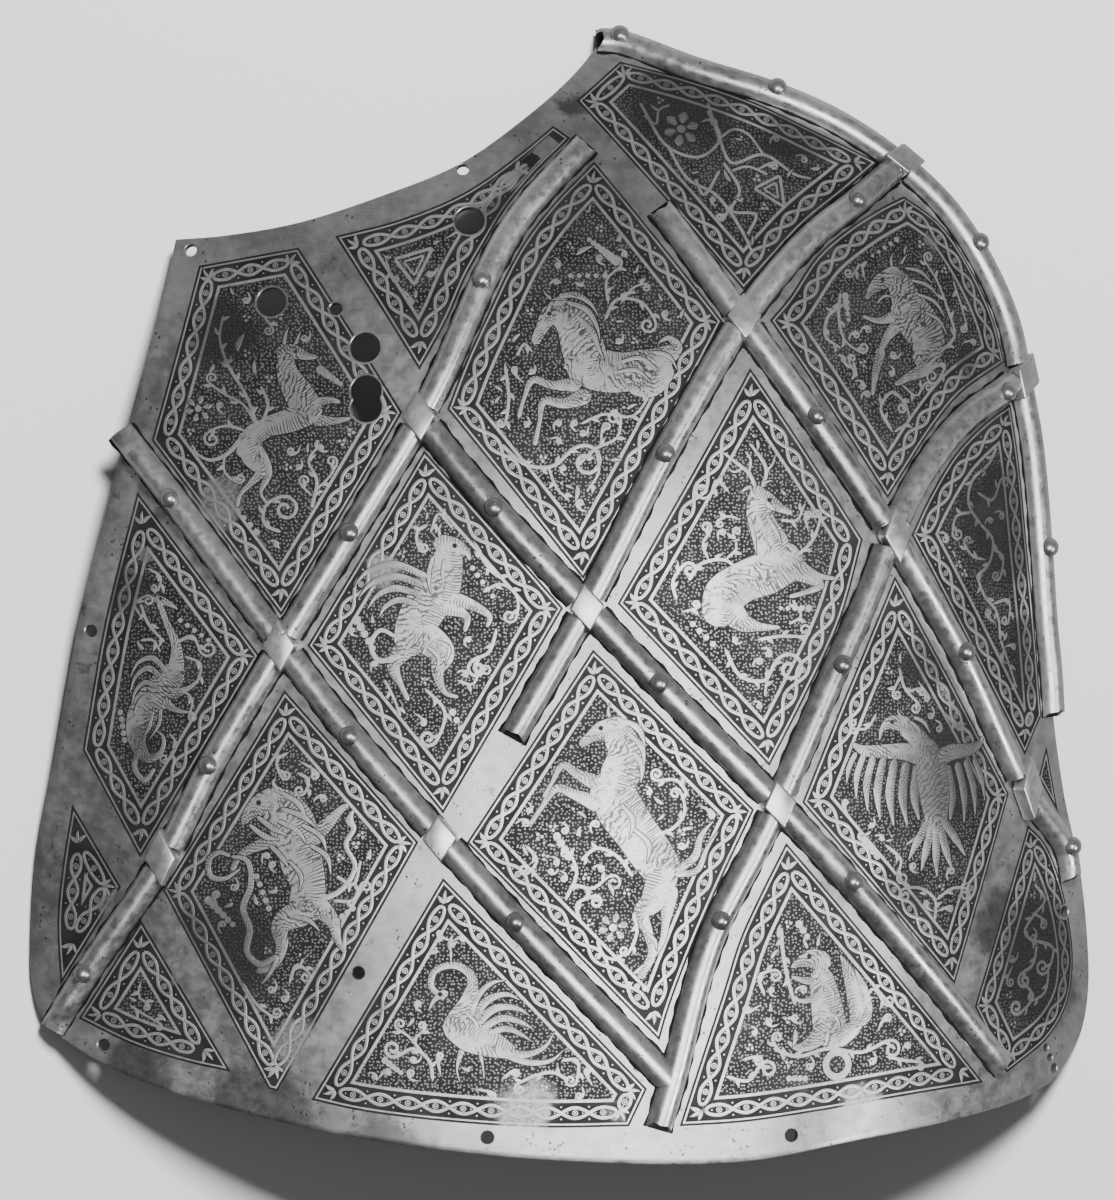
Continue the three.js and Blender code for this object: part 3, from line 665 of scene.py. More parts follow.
class TARGE_OT_plate(bpy.types.Operator):
    """Makes the domed plate with its holes"""

    bl_idname = "targe.plate"
    bl_label = "Plate"

    def execute(self, context):
        sizes, dome = settings().plate, Dome()
        steps = sizes.steps
        lower, neck = PlanLine(LOWER_EDGE).even(steps), PlanLine(NECK_EDGE).even(steps)
        left, right = PlanLine(LEFT_EDGE).even(steps), PlanLine(RIGHT_EDGE).even(steps)[::-1]
        bm = bmesh.new()
        bmesh.ops.create_grid(bm, x_segments=steps, y_segments=steps, size=0.5)
        for vertex in bm.verts:
            across, along = vertex.co.x + 0.5, vertex.co.y + 0.5
            column, row = round(across * steps), round(along * steps)
            place = lower[column] * (1 - along) + neck[column] * along
            place += left[row] * (1 - across) + right[row] * across
            place -= (lower[0] * (1 - along) + neck[0] * along) * (1 - across)
            place -= (lower[-1] * (1 - along) + neck[-1] * along) * across
            vertex.co = dome.above(place)
        bmesh.ops.recalc_face_normals(bm, faces=bm.faces[:])
        if sum(face.normal.z for face in bm.faces) < 0:
            bmesh.ops.reverse_faces(bm, faces=bm.faces[:])
        bmesh.ops.solidify(bm, geom=bm.faces[:], thickness=sizes.thickness)
        bmesh.ops.recalc_face_normals(bm, faces=bm.faces[:])
        sharp = [edge for edge in bm.edges if edge.is_manifold and edge.calc_face_angle() > 0.9]
        bmesh.ops.bevel(
            bm, geom=sharp, offset=sizes.edge_round, offset_type="OFFSET", segments=2,
            profile=0.5, affect="EDGES", material=-1,
        )
        piece = finish_piece("steel_plate", bm, [plate_steel()], ["plate"])
        holes = [(place, sizes.bolt_hole) for place in BOLT_HOLES]
        holes += [(place, sizes.lace_hole) for place in LACE_HOLES]
        holes += [(KEYHOLE[0], sizes.keyhole), (PIN_HOLE, sizes.pin_hole)]
        passes = [holes + [(TORN_SLOT[0], sizes.torn_slot)]]
        passes += [[(KEYHOLE[1], sizes.keyhole), (TORN_SLOT[1], sizes.torn_slot)]]
        passes += [[(TORN_SLOT[2], sizes.torn_slot * 1.2)]]
        for group in passes:
            cutters = self.cutters(dome, group)
            cut = piece.modifiers.new("holes", "BOOLEAN")
            cut.operation, cut.object, cut.solver = "DIFFERENCE", cutters, "EXACT"
            bake_modifiers(piece)
            bpy.data.objects.remove(cutters)
        piece.data.set_sharp_from_angle(angle=math.radians(35))
        return {"FINISHED"}

    def cutters(self, dome, group):
        """One mesh that holds a cutter for each hole, flared to wear the hole's edge."""
        bm = bmesh.new()
        flare = 0.35 * MM
        for place, diameter in group:
            radius = diameter / 2
            profile = [
                (0, -6 * MM), (radius, -6 * MM), (radius, -flare),
                (radius + 2 * flare, flare), (0, flare),
            ]
            turned(bm, profile, 32)
            fresh = [vertex for vertex in bm.verts if not vertex.tag]
            bmesh.ops.transform(bm, matrix=dome.stand(dome.place(place)), verts=fresh)
            for vertex in fresh:
                vertex.tag = True
        bmesh.ops.remove_doubles(bm, verts=bm.verts[:], dist=1e-7)
        bmesh.ops.recalc_face_normals(bm, faces=bm.faces[:])
        cutters = bpy.data.objects.new("holes", mesh_of("holes", bm))
        bpy.context.scene.collection.objects.link(cutters)
        return cutters


def read_route(name):
    """The rows of a bar's route as (place, kind): kind is a crossing's name, RIVET or nothing."""
    rows = []
    for row in BARS[name]:
        if isinstance(row, str):
            rows.append((CROSSINGS[row], row))
        else:
            rows.append((row, row[2] if len(row) > 2 else None))
    return rows


def crossing_directions(name):
    """The plan directions of both bars at a crossing."""
    found = []
    for bar in BARS:
        rows = read_route(bar)
        for index, row in enumerate(rows):
            if row[1] == name:
                line = PlanLine([row[0] for row in rows])
                found.append(line.tangent(index / (len(rows) - 1)))
    if len(CROSSINGS[name]) > 2:
        angle = math.radians(CROSSINGS[name][2])
        found.append(Vector((math.cos(angle), math.sin(angle))))
    return found


def crossing_frame(dome, name):
    """The crossing's place, its normal and both directions on the surface."""
    place = dome.place(CROSSINGS[name])
    normal = dome.normal(place)
    on_surface = []
    for direction in crossing_directions(name):
        flat = Vector((direction.x, direction.y, 0))
        on_surface.append((flat - normal * flat.dot(normal)).normalized())
    return place, normal, on_surface


def darkened_for_soot_and_shade(made):
    """Gives new faces the second, dark material, for soot and painted shade, and turns them up."""
    for face in {face for vertex in made["verts"] for face in vertex.link_faces}:
        face.material_index = 1
        face.normal_update()
        if face.normal.z < 0:
            face.normal_flip()


class TARGE_OT_bars(bpy.types.Operator):
    """Makes the hollow half-round bars between the bosses"""

    bl_idname = "targe.bars"
    bl_label = "Bars"

    def execute(self, context):
        dome, sizes = Dome(), settings().trellis
        material = steel("bar_steel", settings().finish.bar, 0.55, (0.25, 0.45), 0.8)
        # Dark steel for grime and for painted shade: contact shade along the bars and the shade
        # inside broken ends
        soot_and_shade = steel("soot_and_shade_steel", settings().finish.ground, 0.5, (0.6, 0.8), 0.4)
        for name in BARS:
            rows = read_route(name)
            line = PlanLine([row[0] for row in rows])
            stops = [i for i, row in enumerate(rows) if row[1] and row[1] != RIVET]
            ends = sorted({0, *stops, len(rows) - 1})
            for number, (start, end) in enumerate(zip(ends, ends[1:]), 1):
                self.segment(dome, sizes, line, rows, name, number, start, end, material, soot_and_shade)
        return {"FINISHED"}

    def segment(self, dome, sizes, line, rows, name, number, start, end, material, soot_and_shade):
        """One bar from a boss to the next, or to its free end."""
        last = len(rows) - 1
        steps = range(BAR_SAMPLES + 1)
        fine = [line.at((start + (end - start) * i / BAR_SAMPLES) / last) for i in steps]
        reached = lengths_along([dome.above(place) for place in fine])
        begin = self.under_boss(dome, sizes, rows[start][1])
        finish = reached[-1] - self.under_boss(dome, sizes, rows[end][1])
        tab = TABS.get((name, number))
        count = max(8, round((finish - begin) / (2.5 * MM)))
        bm = bmesh.new()
        bmesh.ops.create_grid(bm, x_segments=count, y_segments=BAR_ARCS, size=0.5)
        stations = []
        index = 0
        for step in range(count + 1):
            goal = begin + (finish - begin) * step / count
            while index < BAR_SAMPLES - 1 and reached[index + 1] < goal:
                index += 1
            run = reached[index + 1] - reached[index]
            place = fine[index].lerp(fine[index + 1], (goal - reached[index]) / run)
            ahead = fine[min(index + 1, BAR_SAMPLES)] - fine[max(index - 1, 0)]
            from_tip = goal if tab == "start" else finish - goal
            rise, slip = 1.0, 0.0
            if tab:
                rise = min(1, max(0, (from_tip - sizes.tab_length) / (2.5 * MM)))
            if not rows[start][1] and tab != "start":
                slip += sizes.torn_back * max(0, 1 - (goal - begin) / sizes.torn_reach)
            if not rows[end][1] and tab != "end":
                slip -= sizes.torn_back * max(0, 1 - (finish - goal) / sizes.torn_reach)
            stations.append((place, Vector((ahead.x, ahead.y, 0)).normalized(), rise, slip))
        for vertex in bm.verts:
            place, ahead, rise, slip = stations[round((vertex.co.x + 0.5) * count)]
            angle = math.pi * (vertex.co.y + 0.5)
            normal = dome.normal(place)
            side = ahead.cross(normal).normalized()
            offset = math.cos(angle) * sizes.bar_width / 2
            height = sizes.tab_height + (sizes.bar_height - sizes.tab_height) * rise
            foot = Vector((place.x + side.x * offset, place.y + side.y * offset))
            vertex.co = dome.above(foot) + normal * (math.sin(angle) ** 0.85 * height)
            ragged = 1 + 0.12 * math.sin(5 * angle + place.x * 900)
            vertex.co += ahead * slip * math.sin(angle) ** 0.7 * ragged
        bmesh.ops.recalc_face_normals(bm, faces=bm.faces[:])
        up = sum(face.normal.dot(dome.normal(face.calc_center_median().xy)) for face in bm.faces)
        if up < 0:
            bmesh.ops.reverse_faces(bm, faces=bm.faces[:])
        bmesh.ops.solidify(bm, geom=bm.faces[:], thickness=sizes.bar_sheet)
        bmesh.ops.recalc_face_normals(bm, faces=bm.faces[:])
        for hand in (1, -1):
            self.grime_and_contact_shade(dome, sizes, bm, stations, hand)
        # Painted shade: a dark sheet inside each broken end stands for the hollow's shadow
        for end, tip, inwards in ((start, 0, 1), (end, count, -1)):
            if not rows[end][1] and tab != ("start" if end == start else "end"):
                inside = [stations[tip + inwards * step] for step in range(4)]
                self.hollow(dome, sizes, bm, inside)
        finish_piece(
            f"bar_sheet_{name}_{number}", bm, [material, soot_and_shade], [f"bar_{name}_{number}"],
            40,
        )

    def grime_and_contact_shade(self, dome, sizes, bm, stations, hand):
        """A dark strip along one foot of a bar: dirt with painted contact shade."""
        count = len(stations) - 1
        made = bmesh.ops.create_grid(bm, x_segments=count, y_segments=1, size=0.5)
        for vertex in made["verts"]:
            step = round((vertex.co.x + 0.5) * count)
            place, ahead, _, _ = stations[step]
            side = ahead.cross(dome.normal(place)).normalized() * hand
            ragged = 1 + 0.3 * math.sin(step * 1.7) + 0.25 * math.sin(step * 0.61 + 1)
            offset = sizes.bar_width / 2 - 0.3 * MM
            offset += sizes.grime_and_contact_shade * ragged if vertex.co.y > 0 else 0
            foot = Vector((place.x + side.x * offset, place.y + side.y * offset))
            vertex.co = dome.above(foot, 0.24 * MM if vertex.co.y < 0 else 0.16 * MM)
        darkened_for_soot_and_shade(made)

    def hollow(self, dome, sizes, bm, stations):
        """The dark inside of a bar, where its broken end shows it: a dark sheet on the plate,
        painted shade of the hollow.
        """
        made = bmesh.ops.create_grid(bm, x_segments=3, y_segments=2, size=0.5)
        for vertex in made["verts"]:
            place, ahead, _, _ = stations[round((vertex.co.x + 0.5) * 3)]
            side = ahead.cross(dome.normal(place)).normalized()
            offset = vertex.co.y * (sizes.bar_width - 1.6 * sizes.bar_sheet)
            foot = Vector((place.x + side.x * offset, place.y + side.y * offset))
            vertex.co = dome.above(foot, 0.35 * MM)
        darkened_for_soot_and_shade(made)

    def under_boss(self, dome, sizes, kind):
        """How far from a crossing's middle a bar stops, just inside the boss."""
        if not kind or kind == RIVET:
            return 0.0
        directions = crossing_frame(dome, kind)[2]
        sine = directions[0].cross(directions[1]).length
        return (sizes.bar_width / 2 + sizes.boss_oversize) / sine - 0.8 * MM


class TARGE_OT_bosses(bpy.types.Operator):
    """Makes the lozenge bosses over the crossings"""

    bl_idname = "targe.bosses"
    bl_label = "Bosses"

    def execute(self, context):
        dome, sizes = Dome(), settings().trellis
        material = steel("boss_steel", settings().finish.boss, 0.75, (0.28, 0.4), 0.4)
        for name in CROSSINGS:
            place, normal, (first, second) = crossing_frame(dome, name)
            reach = (sizes.bar_width / 2 + sizes.boss_oversize) / first.cross(second).length
            bm = bmesh.new()
            bmesh.ops.create_cube(bm, size=2)
            for vertex in bm.verts:
                corner = (first * vertex.co.x + second * vertex.co.y) * reach
                foot = place + corner.xy
                rise = sizes.boss_height if vertex.co.z > 0 else 0.3 * MM
                vertex.co = dome.above(foot) + normal * rise
            bmesh.ops.recalc_face_normals(bm, faces=bm.faces[:])
            bmesh.ops.bevel(
                bm, geom=bm.edges[:], offset=sizes.boss_bevel, offset_type="OFFSET", segments=3,
                profile=0.5, affect="EDGES", material=-1,
            )
            finish_piece(f"lozenge_{name}", bm, [material], [f"boss_{name}"], 50)
        return {"FINISHED"}


class TARGE_OT_rivets(bpy.types.Operator):
    """Makes the domed rivets that hold the bars"""

    bl_idname = "targe.rivets"
    bl_label = "Rivets"

    def execute(self, context):
        dome, sizes = Dome(), settings().trellis
        material = steel("rivet_steel", settings().finish.rivet, 0.8, (0.2, 0.35), 0.3)
        seat = sizes.bar_height - 0.5 * MM
        back = -settings().plate.thickness
        head, shank, tail = sizes.rivet_head / 2, sizes.rivet_shank / 2, sizes.rivet_tail / 2
        profile = [
            (0, back - sizes.tail_height), (tail * 0.8, back - sizes.tail_height),
            (tail, back - sizes.tail_height * 0.5), (tail, back), (shank, back), (shank, seat),
        ]
        for step in range(7):
            angle = math.pi / 2 * step / 6
            rise = seat + 0.3 * MM + math.sin(angle) * sizes.rivet_rise
            profile.append((math.cos(angle) * head if step < 6 else 0, rise))
        for name in BARS:
            places = [row[0] for row in read_route(name) if row[1] == RIVET]
            for number, place in enumerate(places, 1):
                bm = bmesh.new()
                turned(bm, profile, 24)
                bmesh.ops.remove_doubles(bm, verts=bm.verts[:], dist=1e-7)
                bmesh.ops.recalc_face_normals(bm, faces=bm.faces[:])
                bm.transform(dome.stand(dome.place(place)))
                finish_piece(
                    f"dome_rivet_{name}_{number}", bm, [material], [f"rivet_{name}_{number}"],
                    50,
                )
        return {"FINISHED"}


# Outlines of the etched panels, clockwise as seen from the front: x, y of each corner, and of
# the soft places that bend a side between two corners
SOFT = "soft"
PANELS = {
    "hound": [
        (-0.348, 0.284), (-0.259, 0.3), (-0.171, 0.155), (-0.279, -0.023), (-0.393, 0.13),
    ],
    "neck": [
        (-0.226, 0.31), (-0.167, 0.325, SOFT), (-0.108, 0.349, SOFT), (-0.058, 0.382, SOFT),
        (-0.023, 0.409), (-0.008, 0.398), (-0.045, 0.364, SOFT), (-0.071, 0.335, SOFT),
        (-0.09, 0.307, SOFT), (-0.11, 0.275, SOFT), (-0.129, 0.236, SOFT), (-0.155, 0.192),
    ],
    "horse": [
        (0.012, 0.377), (0.121, 0.236), (-0.01, 0.01), (-0.131, 0.158), (-0.114, 0.199, SOFT),
        (-0.093, 0.241, SOFT), (-0.063, 0.296, SOFT), (-0.032, 0.335, SOFT),
    ],
    "strapwork": [
        (0.001, 0.432), (0.045, 0.468), (0.11, 0.451, SOFT), (0.168, 0.431, SOFT),
        (0.227, 0.404, SOFT), (0.282, 0.379), (0.249, 0.355, SOFT), (0.203, 0.322, SOFT),
        (0.171, 0.292, SOFT), (0.142, 0.263),
    ],
    "boar": [
        (0.305, 0.349), (0.341, 0.325, SOFT), (0.368, 0.289, SOFT), (0.391, 0.243, SOFT),
        (0.402, 0.202), (0.352, 0.173, SOFT), (0.322, 0.143, SOFT), (0.297, 0.111, SOFT),
        (0.275, 0.081), (0.165, 0.237), (0.184, 0.257, SOFT), (0.213, 0.294, SOFT),
        (0.246, 0.319, SOFT), (0.28, 0.338, SOFT),
    ],
    "arabesque": [
        (0.407, 0.165), (0.415, 0.115, SOFT), (0.423, 0.044, SOFT), (0.432, -0.028, SOFT),
        (0.441, -0.113), (0.422, -0.148), (0.299, 0.049), (0.318, 0.083, SOFT),
        (0.347, 0.122, SOFT), (0.38, 0.149, SOFT),
    ],
    "dragon": [
        (-0.406, 0.085), (-0.298, -0.058), (-0.403, -0.237), (-0.454, -0.143),
        (-0.434, -0.027, SOFT),
    ],
    "griffin": [
        (-0.152, 0.122), (-0.028, -0.015), (-0.135, -0.195), (-0.256, -0.049),
    ],
    "stag": [
        (0.145, 0.195), (0.25, 0.045), (0.228, -0.026, SOFT), (0.193, -0.095, SOFT),
        (0.161, -0.153), (0.021, -0.011),
    ],
    "eagle": [
        (0.282, 0.013), (0.404, -0.182), (0.346, -0.349), (0.192, -0.185), (0.228, -0.103, SOFT),
        (0.254, -0.047, SOFT),
    ],
    "knot": [
        (0.426, -0.211), (0.445, -0.227, SOFT), (0.462, -0.258, SOFT), (0.475, -0.299, SOFT),
        (0.48, -0.339, SOFT), (0.473, -0.374, SOFT), (0.452, -0.402, SOFT), (0.404, -0.431),
        (0.368, -0.37),
    ],
    "lion": [
        (-0.276, -0.088), (-0.157, -0.22), (-0.281, -0.44), (-0.289, -0.438), (-0.383, -0.265),
    ],
    "tip": [
        (-0.463, -0.191), (-0.42, -0.263), (-0.473, -0.351), (-0.476, -0.294, SOFT),
        (-0.471, -0.241, SOFT),
    ],
    "corner": [
        (-0.402, -0.292), (-0.322, -0.424), (-0.366, -0.415, SOFT), (-0.409, -0.402, SOFT),
        (-0.457, -0.38),
    ],
    "stallion": [
        (-0.001, -0.051), (0.147, -0.191), (0.116, -0.254, SOFT), (0.087, -0.319, SOFT),
        (0.069, -0.366, SOFT), (0.061, -0.393), (-0.114, -0.22),
    ],
    "heron": [
        (-0.135, -0.251), (0.05, -0.435), (0.034, -0.468), (-0.046, -0.469, SOFT),
        (-0.136, -0.464, SOFT), (-0.207, -0.456, SOFT), (-0.251, -0.447),
    ],
    "fox": [
        (0.177, -0.22), (0.378, -0.438), (0.291, -0.446, SOFT), (0.212, -0.456, SOFT),
        (0.137, -0.465, SOFT), (0.08, -0.468), (0.099, -0.41, SOFT), (0.119, -0.351, SOFT),
        (0.134, -0.305, SOFT), (0.152, -0.267, SOFT),
    ],
    "sliver": [
        (0.447, -0.141), (0.461, -0.201), (0.438, -0.169),
    ],
}

# What is etched inside each panel: the place it is drawn round, and its marks in millimetres.
# B, H and L are strokes of a beast's body, of hair or feathers and of plain line, S is a strap:
# x, y and width in turn. V is a vine: the reach of its curl, a slash, then its places.
# T is a leaf: x, y, angle, length. R is a rosette, C a ring and D a dark dot: x, y, reach.
# P is a row of pearls: both ends, how many, and the first and last reach. A row that starts
# with a blank goes on with the mark above it.
DRAWINGS = {
    "hound": ((-0.282, 0.145), """
B 22.6 8 1.8 18.3 8.7 3.2 12.7 7.2 5
B 26 2.1 1.8 20.4 1.1 3.2 14 1.4 5.8
B -3.5 -29.7 2 -6 -25.3 1.8 -3.4 -17.7 3.8 -7.3 -10.4 7.3
B 11.9 5 11.4 4.8 1.4 9.6 -3.7 -1.3 7.9 -9.8 -5.7 9.1 -12.3 -10.4 5.8
B 3.4 26.3 5.8 3.8 18.9 8.5 7.8 10.9 11.7 11.5 4.6 12
B 2.3 26.6 6.4 6.6 26.3 6.1 10.9 24.8 3.5 14.7 24.5 2
B 2.9 28.9 2.3 3.5 32.5 1.8 5 35.9 0.6
B 6.7 28.6 2 8.2 32.2 1.5 9.3 34.8 0.6
B -11.3 -6.8 8.5 -9.1 -12.6 7.6 -6 -17.4 4.7 -9.5 -21.8 2.9 -13.4 -26.2 1.9 -14.5 -30.6 2.3
L -13 -5.7 1.8 -17.9 -11.2 1.5 -23.6 -13.4 1.2 -28.3 -11.2 0.9 -30.2 -7.5 0.6
D 7.1 26.6 0.7
V 0 / -7.2 -0.4 1 -11.1 10.9 0.9 -16.5 20.4 0.9 -19.7 30.7 0.7 -18.4 39.6 0.6
V 2 / -7.2 -0.4 0.9 -12.1 7.2 0.7 -18.4 10.8 0.7 -24 15.2 0.6
V 0 / -5.1 0.6 0.9 -3.2 7.2 0.9 -5.6 13.8 0.7
T -7 17.5 100 6.7
T -13.6 26.3 75 7.6
R -27.8 5.4 5
V -2.9 / -11.5 -2.4 0.9 -18.6 -0.9 0.7 -24.2 -3.1 0.7
V 5 / 1 -39.6 1 -4.7 -36.7 0.9 -4.4 -30.2 0.9 -0.4 -27.2 0.9
V 0 / 12 -30.8 1 13.8 -20.6 0.9 11 -13.3 0.7 15.3 -7.4 0.6
T 11 -11.1 95 5
V -2 / 13.1 -24.2 0.7 17.3 -20.6 0.6 20.9 -14.7 0.6
V 2 / 12.3 -26.4 0.7 8.1 -22.1 0.6
P 15.7 19.7 22.7 14.6 6 1.31 0.73
P -18.7 -26.6 -7.5 -39.7 6 0.58 1.02
V -1.8 / -18.6 -10.4 0.7 -18.7 -17.8 0.7 -14.5 -21.4 0.6
V 1.8 / 0.8 47.7 0.7 -3.7 39.5 0.7 -0.9 35.1 0.6
"""),
    "horse": ((-0.009, 0.191), """
B -23.3 -16.9 2.3 -21 -9.2 2 -17.9 -3 3.2 -10.8 -4.8 3.8 -2.8 -4.5 6.7
B -17.5 -26.1 2.6 -15.7 -17.9 2 -14.1 -10.8 3.5 -6.6 -11.5 4.4 0.4 -8.8 7.6
B 18.2 -5.1 5.8 24.8 -5.1 8.8 28.6 0.8 11.7
B -0.5 3.6 15.8 6.7 0.7 16.6 15.4 -0 15.2 23.5 2.2 14 29.4 5.2 9.3 34.7 9.2 5 31.9 12.5 2.6 28.2
 11 1.2
B -8.5 22.6 9.1 -3.2 18.2 13.4 0.2 10.2 16.4 1.7 2.9 16.1
B -6.7 24.8 7.6 -11.2 20.4 7.6 -14.2 15.7 5 -16.4 11.3 4.1
B -10.1 26.6 2 -12.3 28.5 1.3 -13.4 31 0.6
H -7.6 27.8 2.3 -1 28.1 3.2 3.9 24.9 2 7.3 19 0.6
H -4.8 25.6 2 2.4 22.7 2.9 5.8 16.8 2 7 10.2 0.6
H -1.3 20.5 2 4.2 14.6 2.9 6.2 8.7 2 8.5 3.6 0.6
H -9.8 26 1.8 -11.7 22.6 1.8 -12.7 19 0.6
H 14.1 3.7 1.8 21.4 5.1 2.3 28.5 0 0.9
H 12.5 -0 1.8 19.8 0.7 2.3 25.5 -4.4 0.9
H 25.8 7.4 1.8 31.7 5.9 2.3 35.1 0.1 0.7
D -11.2 21.2 0.9
V 3.2 / 8.8 19 0.9 13.4 26.4 0.9 22.2 25.7 0.9 27 19.1 0.7
V -2 / 10.4 24.9 0.9 10.1 33.7 0.7 15.5 38.9 0.7
V 1.5 / 14.8 24.9 0.7 19.5 30.8 0.6 23.9 32.3 0.6
T -0.6 42.6 35 7.6
P 4.6 48.5 13.4 41.1 7 0.73 1.46
P -2.9 35.2 9.5 35.2 5 0.73 0.73
V 1.5 / -27.8 3.5 0.9 -26.7 -10.4 0.9 -28.3 -19.1 0.7
V 0 / -23.5 5.7 0.7 -20.5 10.1 0.6 -17.7 7.2 0.4
V 6.4 / -29.8 -26.4 1 -21.3 -33.7 1 -11.3 -34.4 1 -3.3 -27.8 1
V -2.6 / -2.6 -34.4 0.9 4.7 -27.8 0.9 12 -24.1 0.7 13.6 -17.5 0.7
V 1.5 / 6.2 -26.3 0.7 7 -19.8 0.6
V -1.8 / -1 -19 0.7 7.8 -15.4 0.7 18 -16.1 0.7 23.9 -8.7 0.6
T -2.7 -40.9 270 7
V 0 / -12.7 -35.1 0.7 -9.9 -42.4 0.7 -5.6 -46.8 0.6
V 0 / 4.7 -29.2 0.7 5.3 -36.5 0.7 0.9 -43.8 0.6
V 1.2 / -20.9 -4.5 0.6 -25.1 -0.1 0.6
"""),
    "stag": ((0.149, 0.02), """
L -0.1 28.5 1.3 -2.7 34.4 1.3 -7.7 38.7 1.2 -12.1 42.1 0.7
L -5.2 36.5 0.9 -8.2 35.1 0.7 -10.4 36.2 0.4
L -3 34.4 0.9 -2.2 39.5 0.9 -4.1 42.7 0.6
L 2.2 29.6 1.3 3.6 35.8 1.3 1.2 40.9 1.2 -2.5 45.6 0.7
L 3.2 35.1 0.9 6 38 0.7 6.9 41 0.4
B 11.8 -10.5 2 19.4 -8.4 2.6 24 -6.1 3.5 14.1 -1.4 7.3
B 29.8 -3.8 1.8 22.4 -2.6 3.2 14.8 1.5 7
B 8.8 -21.6 1.8 0.6 -21.3 3.8 -6 -19.2 8.2 -11.7 -12.4 13.1
B 12.1 3 14.6 3.5 -1.7 16.4 -5.3 -5.1 15.2 -12 -10.2 16.4 -14.2 -17.5 11.1
B 0.6 26.3 7.6 1.3 17.6 10.8 6.1 8.1 15.2
B -0.4 27.5 7 4.3 24.6 6.4 8.8 22 3.8 12.4 20.5 2.6
B -1.9 30 2 -4.2 29 1.8 -6.6 26.9 0.6
B 2.2 30.7 1.8 4.7 31.9 1.3 7.1 31.6 0.4
H -0.1 20.5 2 2.1 14.7 2.3 4.3 8.1 0.7
H -3.1 19 2 -1.4 12.5 2.3 -0.2 4.4 0.7
H 3.6 19 1.8 7.3 13.2 2 9.5 7.4 0.7
H -12 -4.3 2 -6.1 -2.9 2.6 1.3 -4.3 0.9
D 4.6 24.9 0.9
V 0 / -25.2 -4.4 1 -20.8 1.5 0.9 -12 3 0.9 -7.6 0 0.7
V 2.9 / -29.6 -11.7 0.9 -31.1 -5.1 0.9 -27.4 0.8 0.9
V -2 / -17.9 3 0.7 -20.1 8.8 0.7 -17.1 13.9 0.7
V 1.5 / -12 3 0.7 -7.6 7.3 0.7 -9 13.2 0.6
V 3.2 / -10.4 27.8 0.9 -14.8 32.1 0.9 -17.1 27 0.7
V -1.5 / -6.1 17.6 0.7 -10.5 19 0.7 -14.2 17.6 0.6
T -6.1 11 200 4.4
V -1.8 / 14.8 4.4 0.9 20.9 10.3 0.9 24 19.1 0.7
V 1.5 / 19.4 13.2 0.7 17.9 19.1 0.7
V 0 / 8.8 17.6 0.7 14.8 17.6 0.7 17.9 23.4 0.6
V 5.8 / -11.9 -29.2 1 -6 -39.4 1 2.9 -40.9 1 7.4 -33.6 1
V -2.3 / -0.1 -26.2 0.9 8.9 -24.8 0.9 17.9 -24.8 0.7
V 0 / 11.9 -20.4 0.7 16.4 -17.5 0.7 13.3 -11.6 0.6
V 0 / 3 -46.7 0.7 3.7 -40.9 0.6
P 8.8 -14.6 19.4 -14.6 5 0.58 1.02
P -23.7 -20.4 -16.3 -27.7 4 0.88 0.88
V -1.5 / -28.1 -16 0.7 -22.3 -14.6 0.7
"""),
    "boar": ((0.296, 0.228), """
B -16.6 5.6 1.8 -10.2 3.9 2.9 -3.7 5.8 5.8
B -13.3 -10.9 1.8 -10.3 -7.6 2.6 -6.8 -1.7 4.1 -0.5 4.3 7.3
B -4.8 -19.7 2.3 1 -16.7 3.8 8.1 -13.1 6.4 11.4 -5.9 11.1
B 0.9 9.5 16.1 6.5 2.6 19.3 9.5 -4.8 16.4 6.5 -10.4 8.8
B -2.8 20.3 8.8 0.6 14.4 13.4 2.4 7 15.2
B -2.3 20.9 8.5 -8.6 18.2 6.7 -12.7 14.8 3.8 -14.8 11.8 2
B -3.7 23.9 2.2 -3.8 26.9 1.6 -2.2 30.3 0.6
B -0 24.8 1.9 1.8 27.4 1.5 4 30 0.4
H 1.5 23.7 1.5 8.1 22.3 2.3 12.8 17.9 0.9
H 3.7 19.2 1.5 11 17.1 2.3 15.8 12 0.9
H 5.8 14.1 1.5 13.2 11.2 2.3 17.4 5.3 0.9
H 8.8 7.4 1.5 14.5 4.5 2.3 18 -1.4 0.9
H -10.7 10.1 1.2 -7.3 13.1 1.8 -2.5 12.4 0.7
D -7.8 19.1 0.9
B -13.8 -23.8 1.8 -12.2 -15 3.8 -10 -7.6 5
V 2 / 14.7 -7.4 0.9 20.9 -1.4 0.9 18.9 7.5 0.9 14.6 19.4 0.7 10.1 26.8 0.6
V 0 / -23.4 10 0.9 -29.9 5.5 0.9 -31.5 -1.9 0.9 -25.8 -6.3 0.7
V -2 / -24.8 14.4 0.9 -26 5.5 0.9 -24.1 -3.3 0.7 -18 -7.7 0.7
V 1.8 / -15 19 0.7 -16.2 24.9 0.7 -19.7 20.4 0.6
T -22.6 10.7 90 4.4
P -23 12.9 -22.2 4.1 5 1.17 0.73
V 1.5 / -21.2 -10.7 0.9 -19.9 -16.5 0.7 -22.8 -10.7 0.7
V 2 / -6.1 -37 0.9 -10.7 -28.2 0.9 -5.7 -22.3 0.9 -0.9 -26.7 0.7
V 0 / -5.3 -37 0.7 0.5 -32.6 0.7 -0.9 -25.2 0.6
V 2.9 / 7.7 -14.8 0.9 16.2 -11.8 0.9 13.4 -17.7 0.7
V 1.8 / -2.3 -19.3 0.7 4.1 -23.7 0.7 7.5 -19.3 0.6
T 1.9 28.1 80 5
P -11.2 27.9 -1 34.1 5 0.58 0.88
V 1.5 / 21.4 19.5 0.7 24.2 10.6 0.7 26.3 1.7 0.6
V 1.2 / 23.4 -4.3 0.7 28.6 -2.7 0.6
"""),
